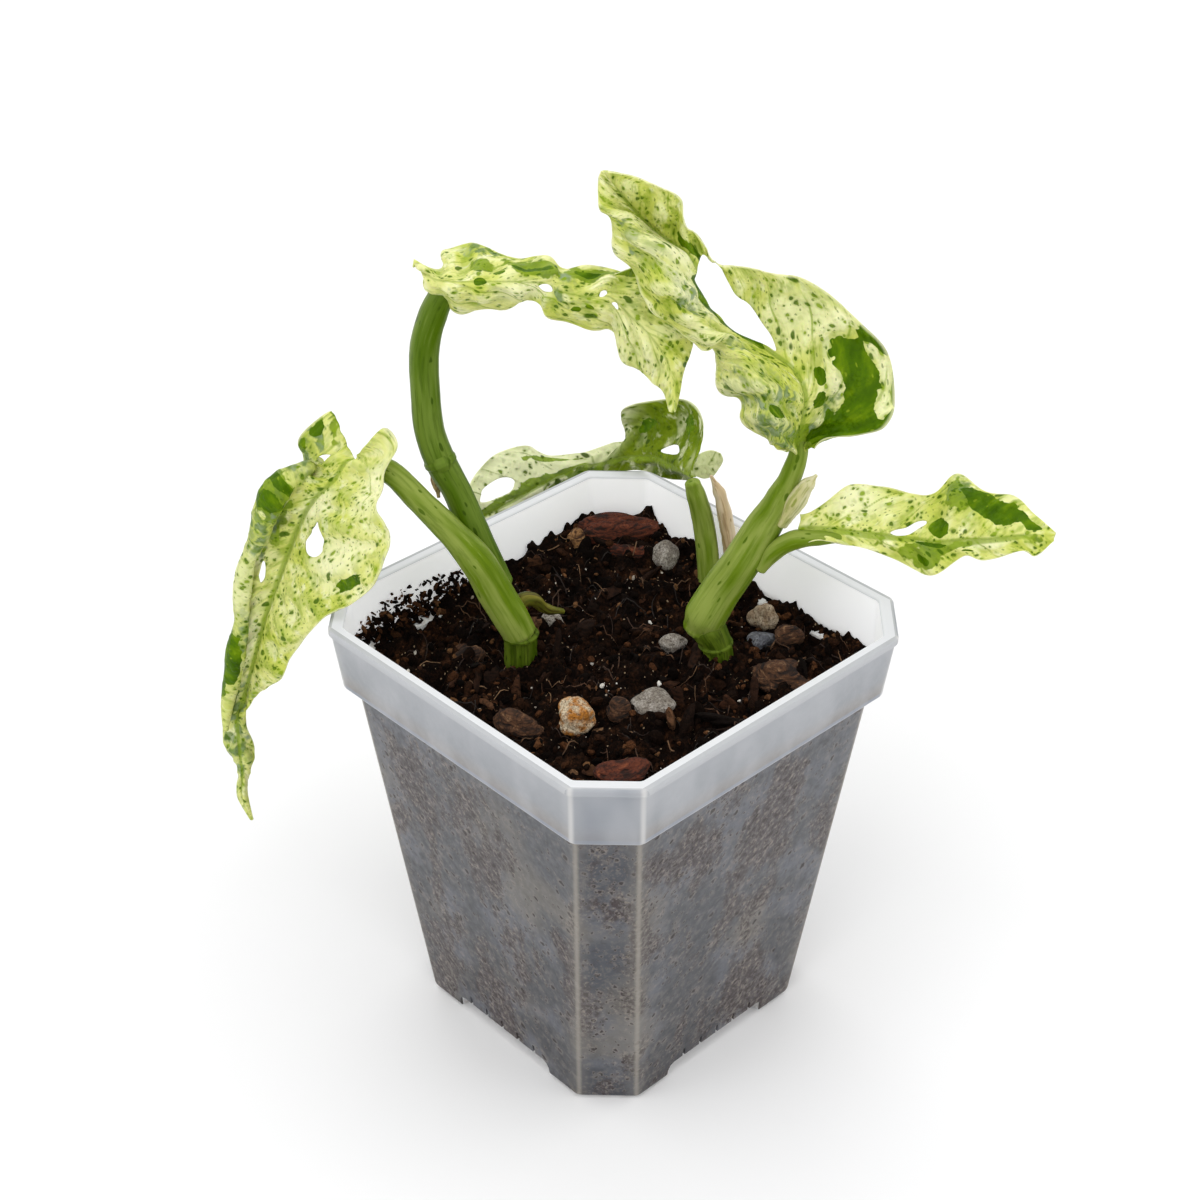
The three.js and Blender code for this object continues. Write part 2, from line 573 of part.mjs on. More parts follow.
// Back leaf: green, its wide basal lobe stands up, its blade is carried over the back corner of the
// rim and down outside the back left wall.
const leafBack = {
  ribSide: 1,
  acrossCells: 8,
  pucker: 0.4,
  ruffle: 0.4,
  rows: [
    [[18, 39, 111.5], [17, 36, 110.5], [16, 34, 108], [17, 35, 106.5], [17.5, 36, 105]],
    [[19, 44, 115.5], [16.5, 42, 111.5], [12, 44, 105], [13.5, 46, 102], [14.5, 46, 100.5]],
    [[15.5, 50, 117.5], [14, 50, 111], [8, 52, 102.5], [8.5, 52, 100], [9, 52, 98]],
    [[9, 55, 115], [8, 55, 109], [3, 57, 99.5], [3.5, 58, 97.5], [4, 58.5, 95.5]],
    [[1.5, 58, 110.5], [3.5, 58, 106], [-0.5, 59, 97.5], [0, 59.5, 96], [0.5, 60, 94]],
    [[3, 60, 102.5], [1, 59.5, 100], [-2.5, 59.5, 96.5], [-2.5, 60, 94.5], [-2, 60, 93]],
    [[-1, 61.5, 100.5], [-2.5, 60.5, 98.5], [-5, 60, 95.5], [-5, 61, 93.5], [-4.5, 61, 92]],
    [[-7.5, 62, 97.5], [-7, 61, 96.5], [-7.5, 60, 95.5], [-7, 61, 93], [-6.5, 62, 90]],
    [[-14.5, 60, 98.5], [-13.5, 58, 97.5], [-12, 57, 94.5], [-11, 59, 91], [-10, 61, 87]],
    [[-20, 57, 102], [-18.5, 55, 99.5], [-16.5, 53, 94.5], [-15, 55, 90.5], [-13, 57, 86]],
    [[-25, 53, 103], [-23, 51, 99.5], [-20.5, 50, 93.5], [-19, 51, 90], [-17.5, 53, 85]],
    [[-29, 49, 101.5], [-27.5, 47, 98], [-25, 46, 93], [-23, 47, 90], [-22, 49, 85.5]],
    [[-31.5, 44, 99], [-30.5, 43, 97], [-28.5, 43, 92.5], [-27, 43, 90], [-25.5, 45, 86]],
    [[-33, 41, 95.5], [-32.5, 41, 93.5], [-31.5, 41, 91.5], [-30.5, 41, 90], [-29.5, 42, 87.5]],
    [[-35.4, 40, 89], [-35.2, 40, 88.8], [-35, 40, 88.5], [-34.8, 40, 88.2], [-34.6, 40, 88]],
  ],
  holes: [
    { row: 1.7, across: -0.3, rowReach: 0.55, acrossReach: 0.16 },
    { row: 11, across: -0.48, rowReach: 0.8, acrossReach: 0.24 },
  ],
};

// The small round lobe on the other side of its stalk.
const leafBackEar = {
  fineness: 2,
  acrossCells: 4,
  pucker: 0,
  ruffle: 0.2,
  rows: [
    [[16.5, 36, 107.5], [16.5, 36.5, 109], [17, 37, 110.5]],
    [[19, 38, 105.5], [19, 38, 109], [18.5, 38.5, 111.5]],
    [[21, 39, 105.5], [21, 39, 108.5], [20.5, 39.5, 111.5]],
    [[22.5, 40, 107.5], [23, 40, 109], [22.5, 40, 110.5]],
  ],
};

// Stalks and sheaths of the left cutting.
const stemLeft = {
  points: [
    [-16, 9, 62], [-18, 7, 71], [-19, 6, 79.5], [-19, 6, 86], [-19.3, 6, 88.6],
  ],
  radii: [2, 3, 3.4, 3.3, 3.2],
};
const petioleLeft = {
  points: [
    [-19.2, 6, 88], [-21, 6, 92], [-23.5, 6, 97], [-27, 5.5, 105], [-32.5, 5, 113], [-38, 4.5, 120],
    [-43.5, 4.5, 126.5], [-48, 5.5, 128],
  ],
  radii: [3.7, 3.9, 3.9, 3.7, 3, 2.7, 2.5, 1.8],
  sides: 12,
  groove: 0.12,
  facing: [0.6, 0.3, 0.7],
};
const petioleTall = {
  points: [
    [-23, 10, 97], [-25.5, 10.5, 102.5], [-29, 11, 111.5], [-31.5, 12, 118], [-34.5, 13, 124],
    [-36.5, 14, 130.5], [-37, 15, 138], [-36.8, 15, 147.5], [-35, 14, 155], [-32, 12, 162],
    [-29, 10, 166],
  ],
  radii: [2.6, 2.9, 3, 2.9, 3.1, 3, 2.9, 2.9, 2.8, 2.4, 1.8],
  groove: 0.14,
  facing: [0.3, -0.9, 0.1],
};
const cataphyllLeft = {
  points: [[-34.5, 16.5, 124], [-35.5, 15.5, 119], [-35.2, 14, 115]],
  radii: [1, 1.4, 0.4],
  sides: 8,
};
const budLeft = {
  points: [[-20, 9.5, 90.5], [-18.5, 11, 92.3], [-16.5, 12, 91.8], [-14, 13.5, 88.5], [-10.5, 15.5, 86.5]],
  radii: [1.2, 1.6, 1.5, 1.2, 0.6],
  sides: 8,
};

// Stalks and sheaths of the right cutting.
const stemRight = {
  points: [[24, 9, 62], [23, 7.5, 71], [22, 7, 79], [21, 7, 85], [19.5, 7.5, 88]],
  radii: [2, 2.8, 3, 3.2, 3.6],
};
const petioleRight = {
  points: [
    [17.5, 8, 87.5], [19, 8, 91], [22.3, 9, 97], [26, 9, 103.5], [29.5, 10, 110], [33, 10, 117],
    [35, 10, 123], [36.3, 11, 128], [35.5, 11.5, 133],
  ],
  radii: [3.4, 4.3, 4.1, 3.9, 3.7, 3.1, 2.2, 1.9, 1.4],
  sides: 12,
  groove: 0.12,
  facing: [0.7, 0.2, 0.6],
};
const sheathRight = {
  points: [[33.5, 7.5, 113], [36, 7.3, 118.5], [37.8, 6.6, 122.5], [39.5, 6, 125.3]],
  radii: [1.2, 2, 1.5, 0.4],
  sides: 8,
};
const petioleSide = {
  points: [[29.5, 6.8, 103], [32.5, 6.8, 107.5], [36, 6, 110.4], [40, 5, 111.5], [45, 4.2, 112]],
  radii: [1.3, 1.9, 2, 1.6, 1],
};

// The third shoot, behind the right cutting, and its papery sheath.
const stemBack = {
  points: [
    [16, 23, 64], [18.5, 26.5, 72], [20.5, 29.5, 80], [20, 31.5, 90.5], [18.7, 32.6, 99],
    [17.3, 32.3, 104.5], [16.4, 32.4, 107.6],
  ],
  radii: [1.6, 2.2, 2.5, 2.4, 2.3, 2.1, 1.7],
  groove: 0.1,
  facing: [0.2, -0.9, 0.2],
};
const sheathBack = {
  points: [[25.5, 31, 86], [24.8, 31.6, 92], [23.6, 32, 99], [22.2, 32.4, 105], [20.3, 33, 109]],
  radii: [0.8, 1.5, 1.6, 1.3, 0.4],
  sides: 8,
};

// Thick pale roots, each from the buried foot of its stem.
const root = (...points) => ({ points, radii: [1.6, 1.3, 1.1, 0.6], sides: 5 });
const rootsLeft = [
  root([-16, 9, 64], [-20, 13, 58], [-24, 14, 48], [-21, 10, 36]),
  root([-16, 9, 64], [-11, 5, 57], [-7, 3, 46], [-9, -2, 32]),
];
const rootsRight = [
  root([24, 9, 64], [27, 5, 57], [26, 1, 46], [20, -3, 34]),
  root([24, 9, 64], [20, 14, 58], [14, 15, 48], [11, 11, 38]),
];
const rootsBack = [
  root([16.5, 23.5, 66], [13, 24, 58], [9, 25, 47], [7, 24, 38]),
];

const unite = (solids) => solids.reduce((sum, solid) => sum.add(solid));

const rooted = (stem, roots, grow) => unite([stem, ...roots].map((piece) => stalk(piece, grow)));
const stemLeftSolid = (grow = 0) => rooted(stemLeft, rootsLeft, grow);
const stemRightSolid = (grow = 0) => rooted(stemRight, rootsRight, grow);
const stemBackSolid = (grow = 0) => rooted(stemBack, rootsBack, grow);
const petioleTallSolid = (grow = 0) => unite([
  stalk(petioleTall, grow),
  nodeRing([-34.5, 13, 124], [-0.35, 0.15, 0.92], 3, grow),
]);

// Stones and bark: [name, place, half sizes, turn about z, seed, colour].
const STONES = [
  ['bark_back', [1.5, 47.5, 86], [9, 3, 4.6], 0.1, 3, 0x4a2318],
  ['bark_reddish', [3, 42, 83.5], [5.2, 2.6, 2.8], -0.2, 5, 0x5f3018],
  ['bark_tan', [-8.2, 43.5, 84.5], [3, 2.2, 3.6], 0.4, 7, 0x8a6238],
  ['bark_fibrous', [35.4, 0.5, 80.5], [6.6, 5, 3], -0.6, 9, 0x5d3c22],
  ['bark_front', [2, -29.5, 79], [4.6, 3.4, 2.6], 0.3, 11, 0x6e2d18],
  ['bark_left', [-31, 7, 80.2], [4.4, 3.4, 2.4], 0.5, 13, 0x59391f],
  ['bark_dark', [1.5, -11, 80.4], [3, 2.4, 2.2], -0.4, 15, 0x2f1d17],
  ['bark_right', [36.5, 12.3, 82.8], [2.6, 2.4, 3.1], 0.2, 17, 0x5b4334],
  ['stone_amber', [-7.3, -13.5, 81], [4.7, 3.3, 3], 0.2, 21, 0xa87744],
  ['stone_amber_left', [-18.9, -14.5, 79.6], [4.4, 3.4, 2.6], -0.5, 23, 0x6e4a28],
  ['pumice_front', [7.8, -9.2, 80.8], [4, 3.2, 2.7], 0.5, 25, 0x8f8a84],
  ['pumice_middle', [12.4, 11, 81.2], [3.1, 2.5, 2.1], 0.1, 27, 0x9a958d],
  ['pumice_bud', [-12.8, 18, 81.6], [2.7, 2.4, 2.3], 0.7, 29, 0x857a70],
  ['pumice_beige', [31.5, 18.7, 83], [2.9, 2.6, 3.4], -0.3, 31, 0xb39a7e],
  ['pumice_back', [11.3, 38.8, 84.4], [3.3, 2.8, 4.2], 0.2, 33, 0x8b867c],
  ['pumice_blue', [30.8, 12.6, 81], [3.1, 2.6, 2.1], 0.4, 35, 0x5d5f66],
];

const stoneSolid = ([, place, half, turn, seed], grow = 0) => {
  const stone = new THREE.IcosahedronGeometry(1, 1);
  const position = stone.attributes.position;
  const p = new THREE.Vector3();
  for (let i = 0; i < position.count; i += 1) {
    p.fromBufferAttribute(position, i);
    const lump = 1
      + 0.13 * Math.sin(3.1 * p.x + seed)
      + 0.11 * Math.sin(3.7 * p.y + 1.7 * seed)
      + 0.1 * Math.sin(4.3 * p.z + 2.3 * seed);
    p.multiplyScalar(lump);
    position.setXYZ(i, p.x * (half[0] + grow), p.y * (half[1] + grow), p.z * (half[2] + grow));
  }
  stone.rotateZ(turn);
  stone.translate(...place);
  return solidOf(stone);
};

// The surface of the mix: long waves with short ones on them, higher towards the back.
const soilHeight = (x, y) => {
  let lumps = 0;
  for (let i = 0; i < 12; i += 1) {
    const heading = 2.4 * i;
    const wave = 17 * 0.86 ** i;
    const along = x * Math.cos(heading) + y * Math.sin(heading);
    lumps += 0.034 * wave * Math.sin((along * 2 * Math.PI) / wave + 1.7 * i);
  }
  return SOIL_LEVEL + SOIL_RISE * y + 1.6 * THREE.MathUtils.smoothstep(y, 20, 50) + lumps;
};

const soilBlock = () => {
  const reach = 62;
  const width = SOIL_CELLS + 1;
  const top = [];
  const bottom = [];
  const cells = [];
  for (let i = 0; i < width; i += 1) {
    for (let j = 0; j < width; j += 1) {
      const x = (j / SOIL_CELLS) * 2 * reach - reach;
      const y = (i / SOIL_CELLS) * 2 * reach - reach;
      top.push(new THREE.Vector3(x, y, soilHeight(x, y)));
      bottom.push(new THREE.Vector3(x, y, -1));
    }
  }
  for (let i = 0; i < SOIL_CELLS; i += 1) {
    for (let j = 0; j < SOIL_CELLS; j += 1) {
      const a = i * width + j;
      cells.push([a, a + 1, a + 1 + width, a + width]);
    }
  }
  return solidOf(sheetBody(top, bottom, cells));
};

// Crumbs of the mix, sunk well into its surface.
const crumbs = () => {
  const random = seededRandom(41);
  const list = [];
  while (list.length < CRUMB_COUNT) {
    const x = (random() * 2 - 1) * 48;
    const y = (random() * 2 - 1) * 48;
    const size = 0.9 + 1.5 * random() ** 2;
    const spin = random() * Math.PI;
    if (Math.abs(x) + Math.abs(y) < 52) {
      const crumb = new THREE.IcosahedronGeometry(size, 0);
      crumb.scale(1.2, 0.9, 0.8);
      crumb.rotateZ(spin);
      crumb.rotateX(spin * 0.7);
      crumb.translate(x, y, soilHeight(x, y) + size * 0.15);
      list.push(solidOf(crumb));
    }
  }
  return unite(list);
};

const soilSolid = () => {
  const space = solidOf(turned(geometryOf(potInside(GAP))));
  const stemsAndRoots = unite([stemLeftSolid(GAP), stemRightSolid(GAP), stemBackSolid(GAP)]);
  const others = unite([stalk(petioleRight, GAP), stalk(budLeft, GAP), stalk(sheathBack, GAP)]);
  const stones = unite(STONES.map((stone) => stoneSolid(stone, GAP)));
  const filled = soilBlock().add(crumbs()).intersect(space);
  return largest(filled.subtract(stemsAndRoots).subtract(others).subtract(stones));
};

const group = new THREE.Group();
const add = (name, geometry, look) => {
  const mesh = new THREE.Mesh(geometry, look);
  mesh.name = name;
  group.add(mesh);
};
const cut = (solid, ...neighbours) =>
  geometryOf(largest(neighbours.reduce((rest, other) => rest.subtract(other), solid)));

add('pot', potGeometry(), FROSTED);
add('soil', geometryOf(soilSolid()), POTTING_MIX);

add('stem_left', geometryOf(stemLeftSolid()), STEM_GREEN);
add('petiole_left', cut(stalk(petioleLeft), stemLeftSolid(GAP), bladeSolid(leafLeft, GAP)), STEM_GREEN);
add(
  'petiole_tall',
  cut(petioleTallSolid(), stalk(petioleLeft, GAP), bladeSolid(leafUpper, GAP)),
  STEM_GREEN,
);
add('cataphyll_left', cut(stalk(cataphyllLeft), petioleTallSolid(GAP)), DRY_TAN);
add('bud_left', cut(stalk(budLeft), stalk(petioleLeft, GAP), stemLeftSolid(GAP)), STEM_GREEN);

add('stem_right', cut(stemRightSolid(), stalk(petioleRight, GAP)), STEM_GREEN);
add('petiole_right', cut(stalk(petioleRight), bladeSolid(leafTop, GAP)), STEM_GREEN);
add('sheath_right', cut(stalk(sheathRight), stalk(petioleRight, GAP)), SHEATH_GREEN);
add(
  'petiole_side',
  cut(stalk(petioleSide), stalk(petioleRight, GAP), stalk(sheathRight, GAP), bladeSolid(leafRight, GAP)),
  STEM_GREEN,
);

add(
  'stem_back',
  cut(stemBackSolid(), bladeSolid(leafBack, GAP), bladeSolid(leafBackEar, GAP)),
  STEM_GREEN,
);
add('sheath_back', cut(stalk(sheathBack), stemBackSolid(GAP)), SHEATH_GREEN);

add('leaf_left', bladeGeometry(leafLeft), BLADE_CREAM);
add('leaf_upper', geometryOf(bladeSolid(leafUpper).add(bladeSolid(leafUpperFlap))), BLADE_CREAM);
add('leaf_top', bladeGeometry(leafTop), BLADE_CREAM);
add('leaf_right', bladeGeometry(leafRight), BLADE_CREAM);
add('leaf_back', geometryOf(bladeSolid(leafBack).add(bladeSolid(leafBackEar))), BLADE_GREEN);

for (const stone of STONES) {
  add(stone[0], geometryOf(stoneSolid(stone)), material(stone[5], 0.9));
}

group.rotation.z = -POT_TURN;

export default group;
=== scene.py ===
# A potted 'frozen freckles' monstera adansonii: two rooted cuttings and a young shoot in a frosted
# square nursery pot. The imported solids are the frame, and each piece below stands in its solid's place.
import math

import bmesh
import bpy
import numpy as np
from mathutils import Matrix, Vector


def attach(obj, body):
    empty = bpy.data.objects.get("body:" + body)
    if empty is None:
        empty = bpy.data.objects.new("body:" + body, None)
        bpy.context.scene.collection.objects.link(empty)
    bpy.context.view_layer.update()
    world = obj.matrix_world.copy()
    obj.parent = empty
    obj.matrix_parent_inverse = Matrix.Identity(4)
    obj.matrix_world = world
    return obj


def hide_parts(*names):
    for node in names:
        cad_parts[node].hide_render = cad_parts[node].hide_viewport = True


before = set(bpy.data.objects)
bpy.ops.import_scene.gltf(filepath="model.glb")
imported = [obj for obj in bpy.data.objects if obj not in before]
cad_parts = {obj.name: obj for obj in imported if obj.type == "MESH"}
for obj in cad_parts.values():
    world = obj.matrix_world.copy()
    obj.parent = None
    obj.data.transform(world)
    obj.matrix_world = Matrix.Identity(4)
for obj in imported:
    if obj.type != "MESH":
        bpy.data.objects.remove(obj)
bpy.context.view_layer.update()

# Studio
# A white sweep on a table, a wide soft light over the left shoulder, weaker ones from the right and
# from behind, and a bright surround. The lens stands over the front corner of the pot, 45 cm away.
MM = 0.001
PHOTO_SIDE = 1200
PHOTO_FOCAL = 2247.3
PHOTO_CENTRE_X = 613.5
SENSOR = 36.0
CAMERA_AZIMUTH = math.radians(-43.98)
CAMERA_ELEVATION = math.radians(33.83)
CAMERA_ROLL = math.radians(0.28)
CAMERA_REACH = 448.35 * MM
CAMERA_TARGET = Vector((0, 0, 99.76 * MM))

back_of_camera = Vector((
    math.sin(CAMERA_AZIMUTH) * math.cos(CAMERA_ELEVATION),
    -math.cos(CAMERA_AZIMUTH) * math.cos(CAMERA_ELEVATION),
    math.sin(CAMERA_ELEVATION),
))
lens = bpy.data.cameras.new("camera")
lens.sensor_width = SENSOR
lens.lens = PHOTO_FOCAL / PHOTO_SIDE * SENSOR
lens.shift_x = -(PHOTO_CENTRE_X - PHOTO_SIDE / 2) / PHOTO_SIDE
lens.clip_start = 0.01
camera = bpy.data.objects.new("camera", lens)
camera.location = CAMERA_TARGET + back_of_camera * CAMERA_REACH
upright = back_of_camera.to_track_quat("Z", "Y").to_matrix()
camera.rotation_euler = (upright @ Matrix.Rotation(CAMERA_ROLL, 3, "Z")).to_euler()
bpy.context.scene.collection.objects.link(camera)
bpy.context.scene.camera = camera


def soft_light(name, azimuth, elevation, reach, width, power):
    """A square soft box that faces the middle of the plant."""
    lamp = bpy.data.lights.new(name, "AREA")
    lamp.shape = "SQUARE"
    lamp.size = width
    lamp.energy = power
    place = bpy.data.objects.new(name, lamp)
    a = math.radians(azimuth)
    e = math.radians(elevation)
    back = Vector((math.sin(a) * math.cos(e), -math.cos(a) * math.cos(e), math.sin(e)))
    place.location = CAMERA_TARGET + back * reach
    place.rotation_euler = back.to_track_quat("Z", "Y").to_euler()
    bpy.context.scene.collection.objects.link(place)


soft_light("key", azimuth=-80, elevation=60, reach=1.1, width=0.75, power=3.3)
soft_light("fill", azimuth=35, elevation=45, reach=1.2, width=1.0, power=2.0)
soft_light("rim", azimuth=150, elevation=50, reach=1.2, width=0.8, power=1.6)

surround = bpy.data.worlds.new("surround")
surround.use_nodes = True
surround.node_tree.nodes["Background"].inputs["Color"].default_value = (1, 1, 1, 1)
surround.node_tree.nodes["Background"].inputs["Strength"].default_value = 0.9
bpy.context.scene.world = surround


def node(tree, kind, inputs=(), **settings):
    """A shader node. Inputs are values or sockets, by name or in order."""
    made = tree.nodes.new("ShaderNode" + kind)
    for name, value in settings.items():
        setattr(made, name, value)
    pairs = inputs.items() if isinstance(inputs, dict) else enumerate(inputs)
    for key, value in pairs:
        if isinstance(value, bpy.types.NodeSocket):
            tree.links.new(value, made.inputs[key])
        elif value is not None:
            made.inputs[key].default_value = value
    return made


def finish_of(name, roughness=0.5, **values):
    """A new material, its nodes and its principled shader, with numbers set on the shader's sockets."""
    made = bpy.data.materials.new(name)
    made.use_nodes = True
    shader = made.node_tree.nodes["Principled BSDF"]
    shader.inputs["Roughness"].default_value = roughness
    for key, value in values.items():
        shader.inputs[key.replace("_", " ")].default_value = value
    return made, made.node_tree, shader


FLOOR_SIDE = 6.0
bpy.ops.mesh.primitive_plane_add(size=FLOOR_SIDE, location=(0, 0, -0.0002))
floor = bpy.context.object
floor.name = "floor"
floor.data.materials.append(finish_of("white_paper", roughness=0.9, Base_Color=(0.93, 0.93, 0.932, 1))[0])

# Pot
# A thin frosted polypropylene pot, 90 mm across its rim, moulded in one shot: a flared collar over a
# tapered body, cut corners, four feet with low passages between them, drain holes and slits.
POT_TURN = math.radians(44)
POT_HEIGHT = 96.5
RIM_HALF = 45
RIM_CHAMFER = 10
COLLAR_BOTTOM = 81.7
COLLAR_HALF = 43
WALL_TOP_HALF = 40.6
BASE_HALF = 32
BASE_CHAMFER = 8.9
WALL = 1
RIM_INNER_HALF = 42.3
CORNER_ROUND = 2.4
FOOT_HEIGHT = 4
FOOT_GAP_HALF = 14.7
SLIT_WIDTH = 0.7
SLIT_HEIGHT = 2.2
SLIT_SPACING = 5
DRAIN_RADIUS = 3
DRAIN_RING = 20
DRAIN_SIDES = 40
CUT_DEPTH = 6
LIP_HEIGHT = 1.9
LIP_STEP = 0.5
SHARP_ANGLE = 28
CHAMFER_SHRINK = 2 - math.sqrt(2)


def mesh_piece(name, points, faces, smooth=True):
    """A new object from points in metres and faces."""
    mesh = bpy.data.meshes.new(name)
    mesh.from_pydata([tuple(p) for p in points], [], faces)
    mesh.validate()
    mesh.update()
    mesh.shade_smooth() if smooth else mesh.shade_flat()
    made = bpy.data.objects.new(name, mesh)
    bpy.context.scene.collection.objects.link(made)
    return made


def wall_half(z):
    """Half the width of the body at a height."""
    return BASE_HALF + (WALL_TOP_HALF - BASE_HALF) * z / COLLAR_BOTTOM


def section(half, chamfer, z, corner=CORNER_ROUND, steps=6):
    """One level of the pot: a square with cut corners, each of its eight edges rounded."""
    turn = math.pi / 4
    set_back = corner * math.tan(turn / 2)
    ring = []
    for side in range(4):
        spin = 2 * turn * side
        for x, y, heading in ((half, half - chamfer, 2 * turn), (half - chamfer, half, 3 * turn)):
            cx = x - set_back * math.cos(heading) - corner * math.sin(heading)
            cy = y - set_back * math.sin(heading) + corner * math.cos(heading)
            for step in range(steps + 1):
                at = heading + turn * step / steps
                px = cx + corner * math.sin(at)
                py = cy - corner * math.cos(at)
                ring.append((
                    (px * math.cos(spin) - py * math.sin(spin)) * MM,
                    (px * math.sin(spin) + py * math.cos(spin)) * MM,
                    z * MM,
                ))
    return ring


def lofted(name, rings):
    """A closed body through rings of as many points, from the lowest up."""
    count = len(rings[0])
    points = [p for ring in rings for p in ring]
    faces = []
    for i in range(len(rings) - 1):
        for j in range(count):
            a = i * count + j
            b = i * count + (j + 1) % count
            faces.append((a, b, b + count, a + count))
    faces.append(tuple(reversed(range(count))))
    faces.append(tuple(range((len(rings) - 1) * count, len(rings) * count)))
    return mesh_piece(name, points, faces, smooth=False)


def carve(body, cutter):
    """Cuts one closed body with another, and removes the second."""
    step = body.modifiers.new("carve", "BOOLEAN")
    step.operation = "DIFFERENCE"
    step.object = cutter
    step.solver = "EXACT"
    bpy.context.view_layer.objects.active = body
    bpy.ops.object.modifier_apply(modifier=step.name)
    bpy.data.objects.remove(cutter)


def underpass(half, height, turned):
    """The low passage between two feet, as a body to cut with."""
    reach = BASE_HALF + 5
    profile = [
        (-half, -5), (half, -5), (half - 0.3, height - 1.6), (half - 0.9, height - 0.5),
        (half - 2, height), (-half + 2, height), (-half + 0.9, height - 0.5), (-half + 0.3, height - 1.6),
    ]
    points = []
    for end in (reach, -reach):
        for along, z in profile:
            x, y = (end, along) if turned else (along, end)
            points.append((x * MM, y * MM, z * MM))
    count = len(profile)
    faces = [(i, (i + 1) % count, (i + 1) % count + count, i + count) for i in range(count)]
    faces += [tuple(range(count)), tuple(reversed(range(count, 2 * count)))]
    made = mesh_piece("underpass", points, faces, smooth=False)
    mesh = bmesh.new()
    mesh.from_mesh(made.data)
    bmesh.ops.recalc_face_normals(mesh, faces=mesh.faces)
    mesh.to_mesh(made.data)
    mesh.free()
    return made


def outside_of_pot():
    """The body and collar, with the small ledge under the lip."""
    return lofted("pot_wall", [
        section(BASE_HALF - 1.0, BASE_CHAMFER, 0),
        section(wall_half(0.3) - 0.45, BASE_CHAMFER, 0.3),
        section(wall_half(0.9) - 0.1, BASE_CHAMFER, 0.9),
        section(wall_half(1.4), BASE_CHAMFER, 1.4),
        section(wall_half(COLLAR_BOTTOM - 0.8), 8.3, COLLAR_BOTTOM - 0.8),
        section(wall_half(COLLAR_BOTTOM) + 0.25, 8.4, COLLAR_BOTTOM - 0.2),
        section(COLLAR_HALF - 0.55, 9, COLLAR_BOTTOM),
        section(COLLAR_HALF - 0.15, 9.1, COLLAR_BOTTOM + 0.15),
        section(COLLAR_HALF, 9.1, COLLAR_BOTTOM + 0.5),
        section(RIM_HALF - LIP_STEP, RIM_CHAMFER - 0.2, POT_HEIGHT - LIP_HEIGHT),
        section(RIM_HALF - 0.1, RIM_CHAMFER, POT_HEIGHT - 1.65),
        section(RIM_HALF, RIM_CHAMFER, POT_HEIGHT - 1.4),
        section(RIM_HALF, RIM_CHAMFER, POT_HEIGHT - 0.45),
        section(RIM_HALF - 0.12, RIM_CHAMFER, POT_HEIGHT - 0.14),
        section(RIM_HALF - 0.45, RIM_CHAMFER - 0.2, POT_HEIGHT),
    ])


def inside_of_pot():
    """The space that the mix fills, up past the rim, which is a body to cut with."""
    corner = CORNER_ROUND - 0.6
    low_chamfer = BASE_CHAMFER - CHAMFER_SHRINK * WALL
    return lofted("pot_space", [
        section(wall_half(0) - WALL, low_chamfer, WALL + 0.2, corner),
        section(wall_half(COLLAR_BOTTOM) - WALL, 7.8, COLLAR_BOTTOM + 0.5, corner),
        section(COLLAR_HALF - WALL, 8.5, COLLAR_BOTTOM + 1.5, corner),
        section(RIM_INNER_HALF - 0.05, 8.9, POT_HEIGHT - 0.6, corner),
        section(RIM_INNER_HALF + 0.1, 9, POT_HEIGHT - 0.15, corner),
        section(RIM_INNER_HALF + 0.4, 9.1, POT_HEIGHT + 0.05, corner),
        section(RIM_INNER_HALF + 0.6, 9.2, POT_HEIGHT + 2, corner),
    ])


def drain_hole(x, y):
    """A round drain through the floor of the pot."""
    bpy.ops.mesh.primitive_cylinder_add(
        vertices=DRAIN_SIDES, radius=DRAIN_RADIUS * MM, depth=CUT_DEPTH * MM,
        location=(x * MM, y * MM, FOOT_HEIGHT * MM),
    )
    return bpy.context.object


def drain_slit(side, along):
    """A narrow drain at the foot of a wall."""
    bpy.ops.mesh.primitive_cube_add(size=1)
    slit = bpy.context.object
    slit.scale = (CUT_DEPTH * MM, SLIT_WIDTH * MM, 2 * SLIT_HEIGHT * MM)
    slit.location = Matrix.Rotation(side * math.pi / 2, 3, "Z") @ Vector(
        (BASE_HALF * MM, along * MM, FOOT_HEIGHT * MM)
    )
    slit.rotation_euler = (0, 0, side * math.pi / 2)
    return slit


pot = outside_of_pot()
space = inside_of_pot()
for turned in (False, True):
    carve(space, underpass(FOOT_GAP_HALF + WALL, FOOT_HEIGHT + WALL + 0.2, turned))
carve(pot, space)
for turned in (False, True):
    carve(pot, underpass(FOOT_GAP_HALF, FOOT_HEIGHT, turned))
for side in range(4):
    turn = side * math.pi / 2
    carve(pot, drain_hole(DRAIN_RING * math.cos(turn), DRAIN_RING * math.sin(turn)))
    for i in range(-2, 3):
        carve(pot, drain_slit(side, i * SLIT_SPACING))
carve(pot, drain_hole(0, 0))
pot.name = "pot_wall"
for polygon in pot.data.polygons:
    polygon.use_smooth = True
pot.data.set_sharp_from_angle(angle=math.radians(SHARP_ANGLE))


def paint(red, green, blue):
    """A colour as it is read off a screen, 0 to 255, in the shader's own scale."""
    def light(value):
        """One channel of it."""
        value /= 255
        return value / 12.92 if value <= 0.04045 else ((value + 0.055) / 1.055) ** 2.4
    return (light(red), light(green), light(blue), 1)


def reckon(tree, operation, *values):
    """One step of arithmetic between sockets and numbers."""
    return node(tree, "Math", values, operation=operation).outputs[0]


def times(tree, first, second):
    """The product of two sockets, or of a socket and a number."""
    return reckon(tree, "MULTIPLY", first, second)


